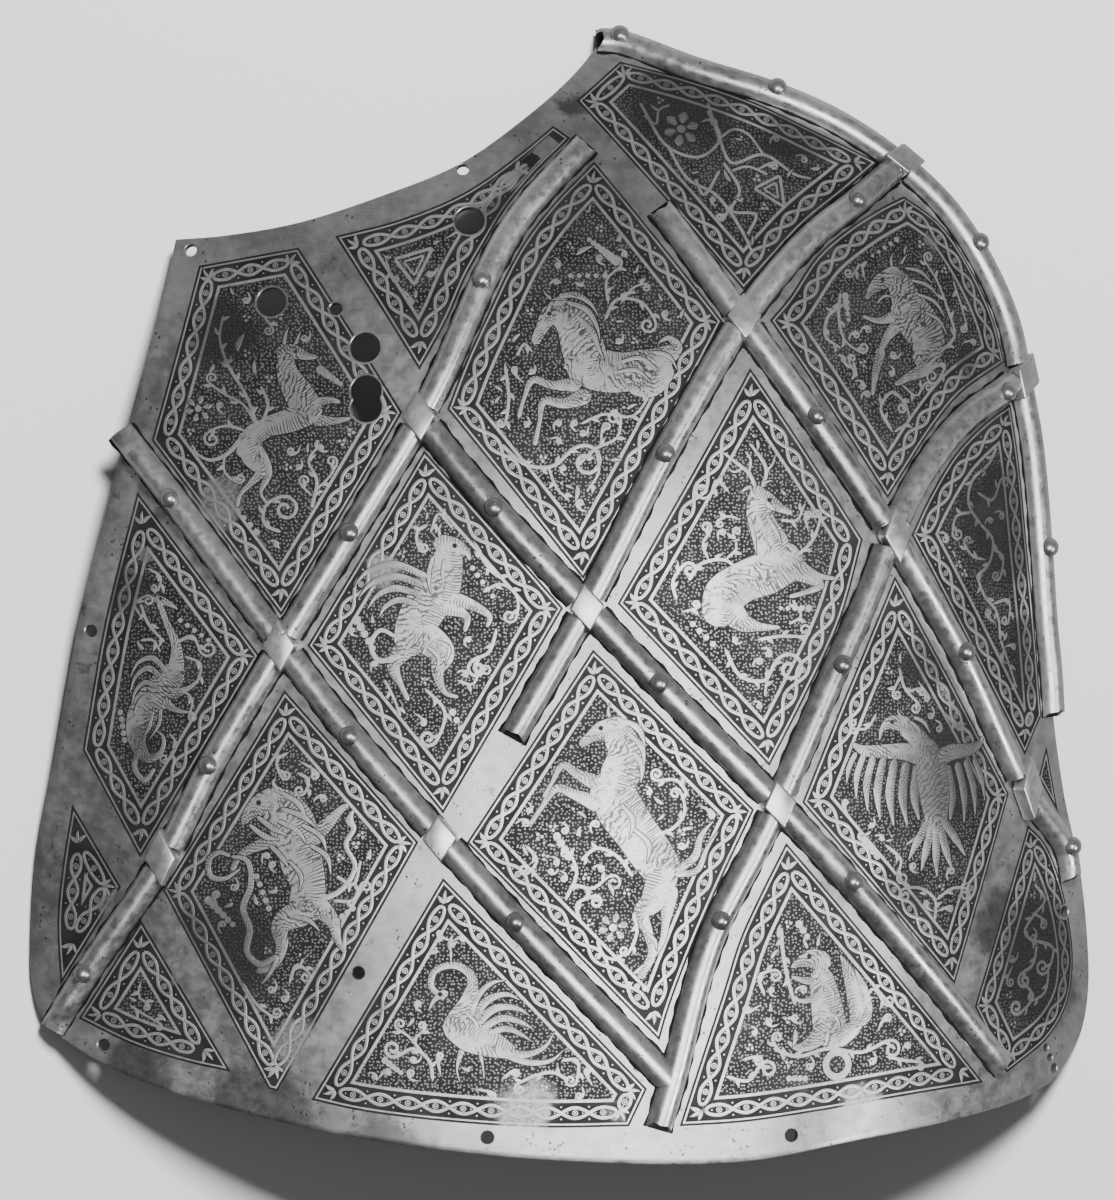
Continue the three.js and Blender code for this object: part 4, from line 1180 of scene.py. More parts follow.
    "griffin": ((-0.143, -0.033), """
B 18.6 0.4 1.8 19.6 4.2 2.6 13.3 8.5 4.4 5 11 7.3
B 10.7 -1.4 2 11.4 4.4 3.2 3.6 7.3 6.7
B -9.2 -26.6 2.3 -12 -20.8 2.6 -14.6 -13.5 5.8 -9.9 -7.1 9.6
B 2.4 16.8 14.9 -2.9 8.5 16.6 -7.1 -0 15.2 -8.9 -6.6 10.8
B 5.2 27.5 9.1 3.8 21.6 13.4 2.4 14.3 15.5
B 2.4 30.4 8.8 7.8 29.5 7 11.4 27.8 3.2 12.4 24.6 1.2
B 1.8 33.3 2 1.5 36.5 1.5 3.3 39.4 0.4
B 8.6 -25.1 1.8 3.9 -23.6 2.3 1.1 -16.3 4.7 2.5 -9 10.5 -4.2 -3.2 13.4
H -3.6 19 3.2 -15 23.3 3.2 -24.2 20.3 2.3 -29.1 14.4 0.7
H -5 16 3.2 -15 18.9 3.2 -22.8 15.9 2.3 -27.7 10.1 0.7
H -5.7 12.4 2.9 -14.2 14.5 3.2 -20.6 11.6 2.3 -24.2 6.4 0.7
H -6.4 8.7 2.6 -12.8 10.2 2.9 -17.8 7.5 2.2 -19.9 3.5 0.7
H -0.7 26.3 2 -2.2 19 2.3 -1.4 12.4 0.7
H 3.5 25.6 1.8 2.8 19.7 2 3.5 13.9 0.7
H 0 -4.4 1.8 5 -7.3 2.3 3.6 -13.8 0.7
H -2.8 -6.6 1.8 1.5 -10.9 2.3 0.1 -16.8 0.7
D 7.1 30.1 0.9
L -12 -10.3 2 -19.9 -11.8 1.8 -22.7 -6 1.6 -19.2 -0.8 1.5 -14.2 -3 1.2
V 0 / 6.4 36.5 0.7 1.4 41.6 0.7 -1.5 35 0.6
V -1.8 / -2.2 37.9 0.9 -6.4 35 0.9 -5.7 29.2 0.7
V 0 / 16.4 26.3 0.9 20.7 20.5 0.9 25 17.6 0.7
V 2.6 / 17.1 13.2 0.9 23.5 16.2 0.7 29.3 11.8 0.7 29.3 4.5 0.7
V -3.5 / 22.2 0.1 0.9 19.3 -8.7 0.9 13.6 -11.6 0.9
V 3.2 / -3.5 -21.9 0.9 3.7 -30.6 0.9 0.8 -40.9 0.9
V 2 / 7.9 -18.9 0.9 13.6 -20.4 0.7 16.5 -14.5 0.6
V 1.2 / -7.7 -30.7 0.7 -3.4 -33.6 0.6
V 0 / -17.7 -19.1 0.7 -14.8 -24.9 0.7 -12 -32.2 0.6
P -27.7 2.8 -22 -7.4 5 1.31 0.88
P 13.5 22 20.7 11.8 5 0.73 0.73
P 6.5 -30.6 10.8 -39.4 4 1.02 0.73
V 1.2 / 13.5 32.2 0.7 16.4 27.8 0.6
"""),
    "dragon": ((-0.385, -0.077), """
B 14 -0.1 1.3 10.1 -4 2.3 4.4 -6.6 5
B 9.8 -13.1 1.5 5.6 -12.4 2.6 0.6 -8.8 5.8
B -0.8 27.9 3.2 1.6 20.6 2.9 5.3 11.1 4.4 5 1.8 8.2
B -1.3 28.2 4.4 2.7 26.8 2.9 6.1 24.5 1
B 5 1.5 9.1 -1.2 -6.2 12.3 -6.8 -14.8 12.3 -8.5 -23.7 7.3 -4.5 -30.2 4.1 -0 -28 2.6 0.7 -22.1
 1.8 -1.7 -19.9 0.9
B -1.8 30 1.5 -3 32.6 1.2 -2.1 35 0.4
H 2.7 0 2.6 -2.9 6.6 2.9 -7.9 5 2 -11.1 -0.9 0.7
H 1.3 -2.2 2.6 -4.3 2.9 2.9 -8.8 -0.1 2 -11.1 -6.8 0.7
H -0.1 -5.2 2.6 -5.4 -2.3 2.6 -8.8 -5.3 1.9 -10.5 -11.2 0.7
H -0.8 -8.8 2.3 -5.4 -7.4 2.3 -8.2 -10.4 1.8 -9.6 -14.9 0.6
H -2.9 -13.3 1.8 -4.3 -19.2 2 -7.1 -23.6 0.7
H -0.1 -11.8 1.8 -0.7 -17.7 2 -4.3 -23.6 0.7
D -0.1 28.5 0.7
L -7.8 -26.6 2.3 -9.2 -34 2 -5.6 -38.3 1.8 -2.1 -33.9 1.3
V 1.5 / -5.1 39.6 0.7 -0.2 36.7 0.7 -0.8 32.3 0.6
V 0 / -7.2 26.4 0.9 -4.4 19.1 0.9 1.3 12.5 0.7
V 2 / -7.2 22 0.7 -9.3 26.4 0.7 -5.8 29.3 0.7
V -2.9 / 5.5 12.5 0.9 11.2 14.8 0.9 14 9 0.7
V 0 / 8.4 7.4 0.7 14 4.6 0.7 12.6 -2.8 0.6
V -1.5 / 7 -4.3 0.7 11.2 -8.7 0.7 9.8 -14.6 0.6
V 0 / -7.2 13.1 0.7 -2.9 13.2 0.6 -0.1 8.8 0.6
V 1.8 / 2.8 -20.6 0.7 5.6 -24.9 0.7 2.8 -30.9 0.6
P -14.2 -13.4 -12.7 -23.7 5 0.88 0.88
P 6.9 20.6 16.8 13.4 5 0.73 0.73
"""),
    "lion": ((-0.272, -0.251), """
B -19.7 2.3 2.6 -17.4 7 3.2 -10.5 11.2 4.7 -2.8 13.8 7.3
B 21 26.6 2.3 18.1 24.3 3.5 14.2 19.9 5 8.6 14 7.6
B 20.3 -27.9 2 17.5 -23.3 3.2 15.5 -16 5.8 10.1 -10.9 10.5
B 2.2 13.2 15.2 4.6 5.1 16.4 6.9 -3.6 13.4 6.1 -11.7 15.2
B -4.2 26.3 14 0.8 19.7 18.1 3.2 12.4 16.4
B -3.9 28.5 10.5 -9.6 26.2 9.1 -13.8 22.9 5.5 -15.8 19.7 2.9
B -4.2 32.1 2.6 -5.7 34.3 1.8 -4.2 36.5 0.6
B -10.4 -34.8 2.9 -5.1 -32.7 3.5 -2.3 -25.4 5 -2.7 -18 7.6 4.7 -13.5 12.8
L 10.8 -8.7 2 18.5 -4.9 1.8 23.5 3.9 1.6 20.2 11.9 1.6 23 17.8 1.8 21.6 20.7 2.9 22.7 24.4 0.7
H -14.1 18.8 2 -8.4 14.5 2.9 -2.8 13.1 0.9
H -11.3 21.8 2 -5.6 17.5 2.9 0.1 14.6 0.9
H -7 11.6 2 -2.7 7.2 2.6 0.1 2.9 0.9
H -2.8 30.7 2 3.6 26.4 2.9 6.4 20.5 0.9
H -4.2 20.4 2 2.9 16.8 2.9 6.4 11.8 0.9
H -2.8 24.8 2 5 22 2.9 10 17.7 0.9
H 0.1 5.8 1.8 4.4 -0 2.3 3.7 -5.9 0.7
H 1.6 -14.7 2 7.2 -16.1 2.6 11.5 -20.4 0.7
H 4.3 19.1 2 11.4 14.7 2.6 13.5 8.9 0.7
H 7.1 11.8 2 13.5 7.4 2.6 15 0.1 0.7
D -10.6 26.8 1
B -16.9 2.6 1.5 -22.5 -1.2 2.3 -27.4 -0.5 2.9 -28.2 5.4 2.9 -24.7 8.4 2.6 -20.4 7 1.8
B -20.4 7 1.8 -14.8 5.6 2.6 -13.3 -3.2 2.9 -16.1 -12.1 2.9 -13.7 -19.4 2.9 -14.6 -28.2 2.6 -9.7
 -32.5 2.9 -4 -29.5 2.3 -6.8 -36.2 2 -9.6 -39.9 0.9
V -1.8 / -0 45.4 0.9 -4.3 42.4 0.9 -2.8 36.6 0.7
V 2 / 2.8 38.1 0.9 7.1 35.2 0.9 5.7 30.8 0.7
V 1.5 / 3.5 42.5 0.7 9.9 38.2 0.7
V 0 / 17.1 0.2 0.9 22.8 -2.7 0.9 25.6 6.1 0.7
V 2 / 15.7 -8.6 0.9 22.8 -8.6 0.9 25.6 -2.7 0.7
V 1.5 / -24.6 -12.2 0.9 -26.7 -7.9 0.7
P -28.1 -9.4 -19.6 -18 6 1.31 0.88
P -11.2 -0.2 -6.9 -11.9 5 0.88 0.88
P 17.2 -16 22.8 -11.5 4 0.88 0.88
V -2 / -16.7 -38.6 0.9 -11 -47.3 0.9 -5.3 -51.6 0.7
V 2 / 0.3 -39.7 0.9 3.1 -32.3 0.9 7.3 -35.2 0.7
"""),
    "eagle": ((0.307, -0.167), """
B -5.2 -23.9 1.3 -0.7 -20.7 2 2.9 -14.9 3.8
B 17.8 -24.3 1.3 13.6 -21.2 2 10.6 -15.1 3.8
H -0.8 4.4 3.8 -1.7 -6 4.4 0.3 -14.9 1.2
H -5.4 5.6 3.8 -6.6 -5.8 4.4 -4.6 -16.9 1.2
H -10 6.7 3.8 -11.8 -5 4.4 -10.1 -16.8 1.2
H -14.5 7.6 3.5 -16.7 -3.4 4.1 -15.6 -14.8 1
H -18.6 8.4 3.2 -21 -1.1 3.8 -20.6 -11.4 1
H -22.4 9.2 2.9 -24.9 1.9 3.2 -25.2 -6.7 0.9
H -25.6 9.9 2.6 -28.1 4.8 2.6 -29 -1.3 0.7
H 11.9 4 3.8 14 -6.4 4.4 13.3 -15.2 1.2
H 16.3 5.1 3.5 19.1 -5.8 3.8 19.2 -16.6 1
H 20 6.1 3.2 23.2 -3.7 3.5 24 -13.8 0.9
H 23.5 7 2.6 26.7 -0.5 2.9 28.1 -8.6 0.7
B 5 6.4 7.6 -4.1 10.3 7 -13.8 10.8 5.8 -22.6 11.4 4.4 -26.9 13.9 1.8
B 6.6 6.4 7.6 13.4 9.9 6.4 20.2 10.5 5.3 25.4 12.6 3.5 27.1 15.5 1.5
H 4.3 -15 4.1 -0.6 -22.9 4.1 -4.2 -29.5 1
H 5.6 -16.8 4.1 3 -26.7 4.1 1.1 -33.8 1
H 7.3 -17.3 4.1 7.4 -28.4 4.1 7.8 -36.1 1
H 8.6 -16.9 4.1 11.7 -26.7 4.1 14.1 -33.3 1
H 10 -15.1 3.8 15.8 -22.4 3.8 19.9 -28.8 1
B 2.8 12.4 8.5 5.2 2.7 14.6 6.9 -7.6 14 7.3 -16.8 8.8
B -6.1 18.9 5.8 -1.5 16.2 7.9 2.5 10.9 9.3
B -5.5 20.4 7 -11.5 21.3 5.8 -15 19 2.6 -16.1 14.6 0.9
B -7.4 23.3 1.8 -8.8 25.7 1.2 -7.5 27.8 0.4
H -2.5 23.3 1.8 2.1 21.3 2 4.9 16.8 0.7
H -3.8 21.8 1.5 -0.1 18.8 1.8 1.1 14.3 0.7
D -11 21.6 0.9
V 2 / -8.3 42 0.9 -5.9 33.9 0.9 -0.1 27.9 0.7
V -1.8 / -7.5 38.4 0.7 -10.7 32.5 0.7
V 1.5 / -5.9 32.4 0.7 0.7 33.8 0.7
T -7.5 42.8 95 5.3
V 1.2 / -28 -12.8 0.9 -30.4 -8.3 0.7
P -23.2 -20.2 -16.8 -27.7 5 1.31 1.02
V -2.3 / -13.7 -23.4 0.9 -7.1 -29.4 0.9 -8.7 -35.3 0.7
V -2.6 / 7 -52 1 7 -44.6 0.9 1.1 -40 0.9 -5.4 -39.8 0.7
V 2.3 / 7 -44.6 0.9 14.5 -40.4 0.9 19.7 -40.6 0.7
V 1.2 / 7 -49.1 0.7 2.8 -46.7 0.7
V 1.2 / 7 -49.1 0.7 12.9 -47 0.7
P 7.3 36.7 15.8 24.7 5 0.88 0.88
V 1.2 / -1 36.8 0.7 4 30.8 0.6
V 1.8 / -17.1 25.2 0.7 -21.1 19.4 0.7 -26.6 19.5 0.6
V -1.8 / 10.7 24.8 0.7 15.9 18.7 0.7
"""),
    "stallion": ((0.017, -0.207), """
B -29.8 1.1 2.3 -25.6 7.5 2.2 -20.1 14.5 3.5 -14 12.4 4.1 -5.3 8.7 7.6
B -25.1 10.9 2 -21.8 16.7 1.9 -18 23 3.2 -12.6 19.7 4.1 -6.4 16.8 7
B 7.8 -53.4 1.8 13.8 -48.3 2.3 18.2 -41.7 2.6 19.6 -34.4 3.5 20.7 -23.4 8.8
B -1 15.3 16.4 3.1 6.6 17.8 8.9 -1.8 16.4 14.8 -10.2 16.4 19.2 -16.4 13.4
B 1.2 34.3 10.5 4.7 27.4 13.7 1.9 18.7 16.4
B 2.1 37.1 8.5 -4 35.6 7.3 -8.3 33 4.4 -10.9 30.9 3.5
B -1.1 40.3 2.2 -1.7 42.9 1.6 -1.1 46 0.6
B 10.7 -53.8 3.8 14.7 -45.6 3.5 13.2 -38.3 4.1 10.8 -31 6.4 14.9 -26.3 9.6 18.1 -17.8 13.4
H 3.7 39.4 2.3 9.5 36.2 3.2 12 29.2 0.7
H 5.9 34.3 2 10.5 29.9 2.9 11.7 22.6 0.7
H 7.4 27.7 2 10.6 23.4 2.9 10.3 16.1 0.7
H -0.7 39.4 1.8 -2.6 36.2 2 -4 32.4 0.6
H 24.3 -14.9 3.5 30.2 -10.3 3.5 32.3 -3 2.6 37 2.9 0.9
H 23.6 -16.8 2.9 30.9 -15.4 2.9 34.6 -7.4 2 39 -0.8 0.7
H 3.1 8.8 1.8 7.5 2.9 2.6 6 -4.4 0.7
H 7.5 -0 1.8 13.3 -5.9 2.6 12.6 -13.2 0.7
H 12 -38 1.5 15.7 -41 2 16.5 -45.4 0.6
D -4.3 36.5 0.9
V 0 / 7.5 -17.6 1 1.7 -10.2 0.9 -5.6 -7.3 0.9 -11.3 -11.7 0.9
V -2 / 14.8 -2.9 0.9 22.1 -0 0.9 26.4 5.8 0.9 24.9 13.1 0.7
T 19.1 8.8 150 5.8
T 19.1 5.8 230 5
V 2.3 / 27.9 11.7 0.9 23.4 17.5 0.9 16.1 17.5 0.7
V 2 / -31.5 -6 0.9 -27.2 -11.8 0.9 -30.1 -16.2 0.7
T -30.1 -10.3 120 5.8
V -1.5 / -17 -26.4 1 -12.8 -16.1 0.9 -15.7 -8.8 0.7
V 2.9 / -14.2 -20.5 0.9 -6.9 -21.9 0.9 -1.2 -17.6 0.7
V 2.3 / -11.2 -35.1 0.9 -12.7 -27.8 0.9 -6.9 -24.9 0.9
R 0.4 -36.3 5.5
V 1.8 / 7.6 -30.7 0.9 9.1 -38 0.9 6.2 -45.3 0.7
V 0 / -5.4 -41 0.9 -2.5 -46.8 0.9 4.8 -48.3 0.7
P -20 -3 -15.7 -10.3 4 1.17 1.17
P 6.3 -57.1 12.2 -58.5 3 0.88 0.88
T -1.9 -19.7 300 6.4
V 1.2 / 30.8 8.7 0.7 36.7 5.8 0.7
"""),
    "heron": ((-0.104, -0.386), """
B -5.9 -18.4 1 -7.1 -13.6 1.3 -5.4 -6.7 3.2
B 2.7 -17.3 1 2.1 -12 1.3 0.9 -6.6 2.9
H -0.7 5.1 3.5 3.5 11.7 3.5 10.7 14 2.3 15.7 11.8 0.7
H -0 2.9 3.5 6.4 8.8 3.5 14.3 8.9 2.3 19.3 6 0.7
H 1.4 0.7 3.5 8.6 5.2 3.2 15.8 3.8 2.3 20.8 0.9 0.7
H 2.9 -1.5 3.2 10 1.5 2.9 15.8 -0.6 2 20.1 -3.5 0.7
H -2.2 6.6 2.9 0.6 13.9 2.9 5.6 18.3 2 10.6 19.1 0.7
H 8.6 -5.8 3.5 17.3 -8 3.2 24.5 -5 2 28 0.9 0.7
H 8.7 -7.3 3.2 18.7 -10.9 2.9 26.7 -10.1 2 31.7 -5.7 0.7
B -12.2 12.8 2.6 -16.4 16.7 2.9 -15.1 22.4 2.9 -8 24.5 3.2 -2.1 20.5 3.8 -2.9 12.4 6.1 -7.5 4.3
 9.3
B -11.8 14 4.4 -15.1 11.9 2.3 -17.5 7.4 0.9
B -8.3 3.1 10.5 -2.8 -1.2 12.3 5.1 -4.1 10.8 12.2 -7 5
H -7.2 7.3 1.8 -3.6 2.9 2 -4.3 -3 0.7
H -4.3 7.3 1.8 -0 2.9 2 -0.7 -3 0.7
D -13.2 13.9 0.9
T -9.5 29.2 90 7.3
V 1.2 / -9.4 25.5 0.7 -10.2 33.6 0.7 -13.8 35 0.6
V 1.2 / -9.5 32.9 0.7 -5.9 35.1 0.6
V 3.2 / -15.6 -17.8 1 -17.1 -10.4 0.9 -22.8 -6.1 0.9 -28.5 -9.1 0.9
V 2 / -18.5 -9 0.9 -24.3 -1.7 0.7 -28.5 1.2 0.7
V -1.5 / -22.8 -3.2 0.7 -18.6 1.3 0.7
V 1.2 / -12.7 -16.3 0.9 -14.2 -8.9 0.7
P -32.7 -10.6 -27 -15 5 1.02 0.73
V -2 / 33.2 -17.4 1 27.4 -14.5 0.9 20.2 -16 0.9 14.5 -19 0.7
V 2.3 / 30.3 -10.1 0.9 36.1 -10.1 0.9 36.1 -17.4 0.7
V 1.5 / 8.7 -17.5 0.9 13 -13.9 0.7
V 1.2 / 41.9 -19.6 0.7 39 -14.5 0.7
V 1.2 / -1.3 -20.6 0.7 5.9 -22 0.7
V 1.2 / -35.5 -18 0.7 -32.7 -14.3 0.7
"""),
    "fox": ((0.211, -0.362), """
H 7.6 -14.3 4.4 13.8 -7.5 6.7 13.1 2.5 7 10.2 12.1 5 7.3 18.1 0.9
H 9.4 -9.2 3.5 18 -5 4.4 16.4 5.4 4.4 13.1 12.8 0.9
B -11.5 10.3 1.6 -6.8 8.8 2.9 -1.3 8.4 5.3
B -9.9 1.8 1.5 -5.8 1.2 2.6 -0.8 3.6 4.7
B -12.8 -13.4 1.6 -8.7 -15.9 3.2 -2.2 -13.3 6.4 1.9 -7.8 11.1
B -0.1 10.2 9.1 1.8 1.3 12.3 3.5 -7.6 14 5.1 -13.5 9.1
B 0.8 15.3 8.5 -3.8 16.7 7.6 -8.4 15.3 4.1 -11.4 13.6 1.8
B -5.1 20.5 2.2 -6.6 23.2 1.6 -6.3 26.1 0.6
B -1.4 21.1 2.2 -1.1 23.7 1.6 -0.2 26.9 0.6
H -0.1 8.7 1.5 4.6 4.2 1.8 3.9 -3.2 0.7
H -1.5 -3 1.8 5.5 -4.7 2.3 7.9 -10.6 0.7
D -4.7 17.6 0.9
V 0 / -15.4 28 1 -14.6 19.2 1 -12.6 8.9 1 -9.9 0 0.9
T -15.7 23.6 95 6.7
T -9.9 -8.8 270 7.3
T -19.1 16.3 60 5.8
V 3.5 / -18.1 -16 1 -9 -19.1 1 3.2 -16.4 1 15.8 -18.2 1 26.9 -14.2 0.9
V 2 / -9 -19.1 0.9 -15.1 -17.5 0.9 -18.1 -13.1 0.7
V 2.3 / -21.2 3.1 0.9 -23.5 10.5 0.9 -18.3 12.6 0.7
V 1.5 / -22.7 0.2 0.7 -27.1 -2.7 0.7
V 3.2 / -35.8 -26.1 0.9 -26.9 -27.7 0.9 -22.5 -21.8 0.9
V 1.8 / -30 -20.3 0.9 -24 -18.9 0.7
V -2 / 15.6 -3.5 0.9 20.3 5.2 0.9 25.2 -0.8 0.7
V 1.5 / 22.1 -11 0.9 25.2 -5.2 0.7
C 6.4 -22.4 5.8
C 6.4 -22.4 4.4
P -8.6 29.4 -5.6 24.9 3 1.17 0.88
P -12 -27.1 -5.9 -27.2 4 0.88 0.88
V 1.5 / 25.4 -20 0.9 33.5 -21.8 0.9 40.1 -22.9 0.7
V 1.2 / 31.9 -18.8 0.7 33.5 -15.9 0.7
"""),
    "arabesque": ((0.372, 0.055), """
V 0 / 7.3 29.5 0.9 3.7 23.6 0.9 -3.4 17.6 0.9 -5.2 8.8 0.9 -0.1 1.3 0.9
V 2 / -1.7 13.2 0.9 5.2 10.2 0.9 8.9 17.6 0.7
V -2.3 / -3.5 5.8 0.9 -10.4 4.3 0.9 -12.1 -1.6 0.7
V 0 / -0.1 1.3 0.9 5.2 -4.6 0.9 3.4 -13.5 0.9 -1.8 -17.9 0.9
V 2 / 4.3 -7.6 0.9 9.6 -10.6 0.9 8.7 -18 0.7
V 1.8 / 2.5 -12 0.7 -3.6 -10.5 0.7 -7 -6 0.7
V 0 / -1.8 -17.9 0.9 1.7 -25.4 0.9 7 -31.4 0.9 8.8 -41.8 0.9
V 1.8 / 5.2 -28.4 0.9 12.3 -27 0.9 12.4 -34.4 0.7
V 1.5 / 7 -35.8 0.7 2.6 -32.8 0.7
V 0 / 8.8 -41.8 0.9 12.5 -50.8 0.9 16.1 -59.8 0.7
V 1.2 / 9.7 -44.8 0.7 14.2 -43.4 0.6
V 1.2 / 12.5 -50.8 0.7 8.9 -49.3 0.6
T 2.7 19.1 120 4.4
T -2.7 -4.6 200 4.4
T 6.1 -19.5 60 4.4
T 11.5 -38.9 250 3.8
"""),
    "knot": ((0.433, -0.336), """
V 0 / 0.4 30.1 1 5.1 23.8 1 -0.4 18.1 1 -4 12.3 1 1.6 7.5 1
V -2.9 / 1.6 7.5 1 -0.2 0.1 1 -5.7 -3.3 1
V 3.2 / 0.6 9.1 1 9.1 5.6 1 7.3 -1.8 0.9
V 2.9 / -5.6 -5.5 1 -0.1 -11.9 1 -5.5 -17.5 1
V 1.8 / -1.3 19.7 0.9 5.2 16.3 0.7
V -1.8 / -9.3 0.7 0.9 -12 -5.1 0.7
V 1.8 / 7.3 -1.8 0.9 5.5 -10.7 0.9 -0 -13.4 0.7
T 0.4 30.8 90 3.8
"""),
    "neck": ((-0.156, 0.285), """
S -7.1 2 1.2 6.7 6.1 1.2
S 6.7 6.1 1.2 -0.4 -7.5 1.2
S -0.4 -7.5 1.2 -7.1 2 1.2
S -3.9 1 0.8 3.5 3.3 0.8
S 3.5 3.3 0.8 -0.3 -4 0.8
S -0.3 -4 0.8 -3.9 1 0.8
R -0.2 0 1.7
T 7 7.3 35 2.9
T -8.5 2.4 165 2.9
T -0.1 -9.4 270 3.2
V 1.2 / 9.3 0.2 0.7 6.2 -4.2 0.7
V 1.2 / -5.4 -8.7 0.7 -1.3 -13.1 0.7
V -1.2 / -10.6 3.2 0.6 -8.1 -5.7 0.7
V 0.9 / 11.1 9.1 0.6 17 12.8 0.6
"""),
    "strapwork": ((0.1395, 0.3765), """
R -17.8 12.6 6.7
S -32.2 22.5 1.2 -23.4 5.9 1.2 -11.9 2.2 1.2 -3.8 9.1 1.2 -7.2 19.7 1.2
S -6.9 22.7 1 -3.8 9.1 1.2 -0.2 0.1 1.2 12.1 3.2 1.2 23.6 -4.2 1.2 29.7 -5.6 0.9
S -23.4 5.9 1 -17 -6.1 1.2 -7.1 -12 1.2 0.9 -23.9 1.2 4.8 -32.7 1
S -4.9 -3 1 -11.6 -12 1.2 -14.1 -6.1 0.9
S -3.1 0 1.2 1.9 -10.4 1.2 -1.6 -17.9 1 7.2 -19.4 1.2 3.7 -26.8 1
S 7.5 -9.6 1.1 17.6 -4.6 1.1
S 17.6 -4.6 1.1 18.3 -16.4 1.1
S 18.3 -16.4 1.1 7.5 -9.6 1.1
S 10.9 -9.8 0.8 15.9 -7.3 0.8
S 15.9 -7.3 0.8 16.2 -13.1 0.8
S 16.2 -13.1 0.8 10.9 -9.8 0.8
S -31.2 17.7 0.9 -27 14.4 0.9 -25.4 19.6 0.9 -21.1 21.7 0.9
S -3.8 9.1 0.9 1.6 12.6 0.9 6.6 11.2 0.9 12.1 3.2 0.9
S -0.4 -3 0.9 5.7 -1.4 1 13 -4.3 0.9
V 1.5 / -10.7 15.1 0.7 -6 16.6 0.7
V 1.5 / 8.6 -2.9 0.7 14.9 0.2 0.7
V 1.5 / -1.4 -14.9 0.7 -4.8 -20.9 0.7
T -0.8 -7.5 120 6.4
T 5.2 -26.8 270 5
T -12.3 -3 200 4.4
T 20.4 -5.8 60 5.3
T -25.1 19.5 150 3.8
"""),
    "corner": ((-0.4, -0.366), """
V 1.2 / -5 -0.3 0.7 -0.8 -3.1 0.7 6.3 -7.3 0.7
V 1.2 / -0.8 8.7 0.7 -1.5 2.8 0.7 2 -0.1 0.7
T 4.9 -3.7 330 3.8
T -2.2 1.3 160 3.2
"""),
    "tip": ((-0.45, -0.261), """
T -0 2 90 2
"""),
}

# The bands round a panel, from the outside in, in millimetres
GROOVE = 0.85
FINE_LINE = 0.6
BRAID = 7.7
INNER_LINE = 1.1

# The braid's lenses, how far its strands swing and how wide they are, in millimetres
LENS_PITCH = 10.4
LENS_SWING = 1.95
STRAND = 0.95

# The bare steel round a hole, the corner leaves, and the room and the grid for sprigs
BARE_RING = 0.7
TREFOIL = 4.2
ROOM = 2.05
SPRIG_PITCH = 5.3

# How much wider a vine is drawn than its row says
VINE_WEIGHT = 1.3

# How far each layer stands above the plate, in millimetres
GROUND_RISE = 0.05
FINE_RISE = 0.1
INNER_RISE = 0.12
MARK_RISE = 0.13
BRAID_RISE = 0.15

# How far a panel's lines are drawn past its corners, in metres
PAST_CORNER = 0.04


def panel_lines(dome, name, inset):
    """The lines through a panel's sides, moved inwards on the steel and stretched at both ends."""
    rows = PANELS[name]
    corners = [index for index, row in enumerate(rows) if len(row) == 2]
    lines = []
    for start, end in zip(corners, corners[1:] + [len(rows)]):
        side = rows[start:end] + [rows[end % len(rows)]]
        places = PlanLine(side).even(10 + 10 * len(side))
        places.insert(0, places[0] + (places[0] - places[1]).normalized() * PAST_CORNER)
        places.append(places[-1] + (places[-1] - places[-2]).normalized() * PAST_CORNER)
        moved = []
        for index, place in enumerate(places):
            ahead = places[min(index + 1, len(places) - 1)] - places[max(index - 1, 0)]
            moved.append(dome.beside(place, ahead, -inset))
        lines.append(moved)
    return lines, [dome.place(rows[index]) for index in corners]


def meeting(first, second, near):
    """Where two lines cross nearest a place, as positions along both."""
    best = None
    for i in range(len(first) - 1):
        a, d = first[i], first[i + 1] - first[i]
        for j in range(len(second) - 1):
            b, e = second[j], second[j + 1] - second[j]
            turn = d.x * e.y - d.y * e.x
            if abs(turn) < 1e-14:
                continue
            gx, gy = b.x - a.x, b.y - a.y
            t = (gx * e.y - gy * e.x) / turn
            u = (gx * d.y - gy * d.x) / turn
            if 0 <= t <= 1 and 0 <= u <= 1:
                away = (a + d * t - near).length
                if best is None or away < best[0]:
                    best = (away, i + t, j + u)
    return best


def panel_sides(dome, name, inset):
    """The sides of a panel at an inset, corner to corner. A side that closes up is a point."""
    lines, near = panel_lines(dome, name, inset)
    alive = list(range(len(lines)))
    while len(alive) > 2:
        ends = {}
        for index, after in zip(alive, alive[1:] + alive[:1]):
            found = meeting(lines[index], lines[after], near[after])
            if found is None:
                return None
            ends[index, "end"], ends[after, "start"] = found[1], found[2]
        closed = [index for index in alive if ends[index, "start"] >= ends[index, "end"]]
        if not closed:
            break
        alive.remove(min(closed, key=lambda index: ends[index, "end"] - ends[index, "start"]))
    if len(alive) < 3:
        return None
    sides = []
    for index, line in enumerate(lines):
        if index not in alive:
            after = next((i for i in alive if i > index), alive[0])
            corner = spot(lines[after], ends[after, "start"])
            sides.append([corner, corner])
            continue
        low, high = ends[index, "start"], ends[index, "end"]
        side = [spot(line, low)]
        side += [line[i] for i in range(math.floor(low) + 1, math.ceil(high))]
        sides.append(side + [spot(line, high)])
    return sides


def spot(line, position):
    index = min(int(position), len(line) - 2)
    return line[index].lerp(line[index + 1], position - index)


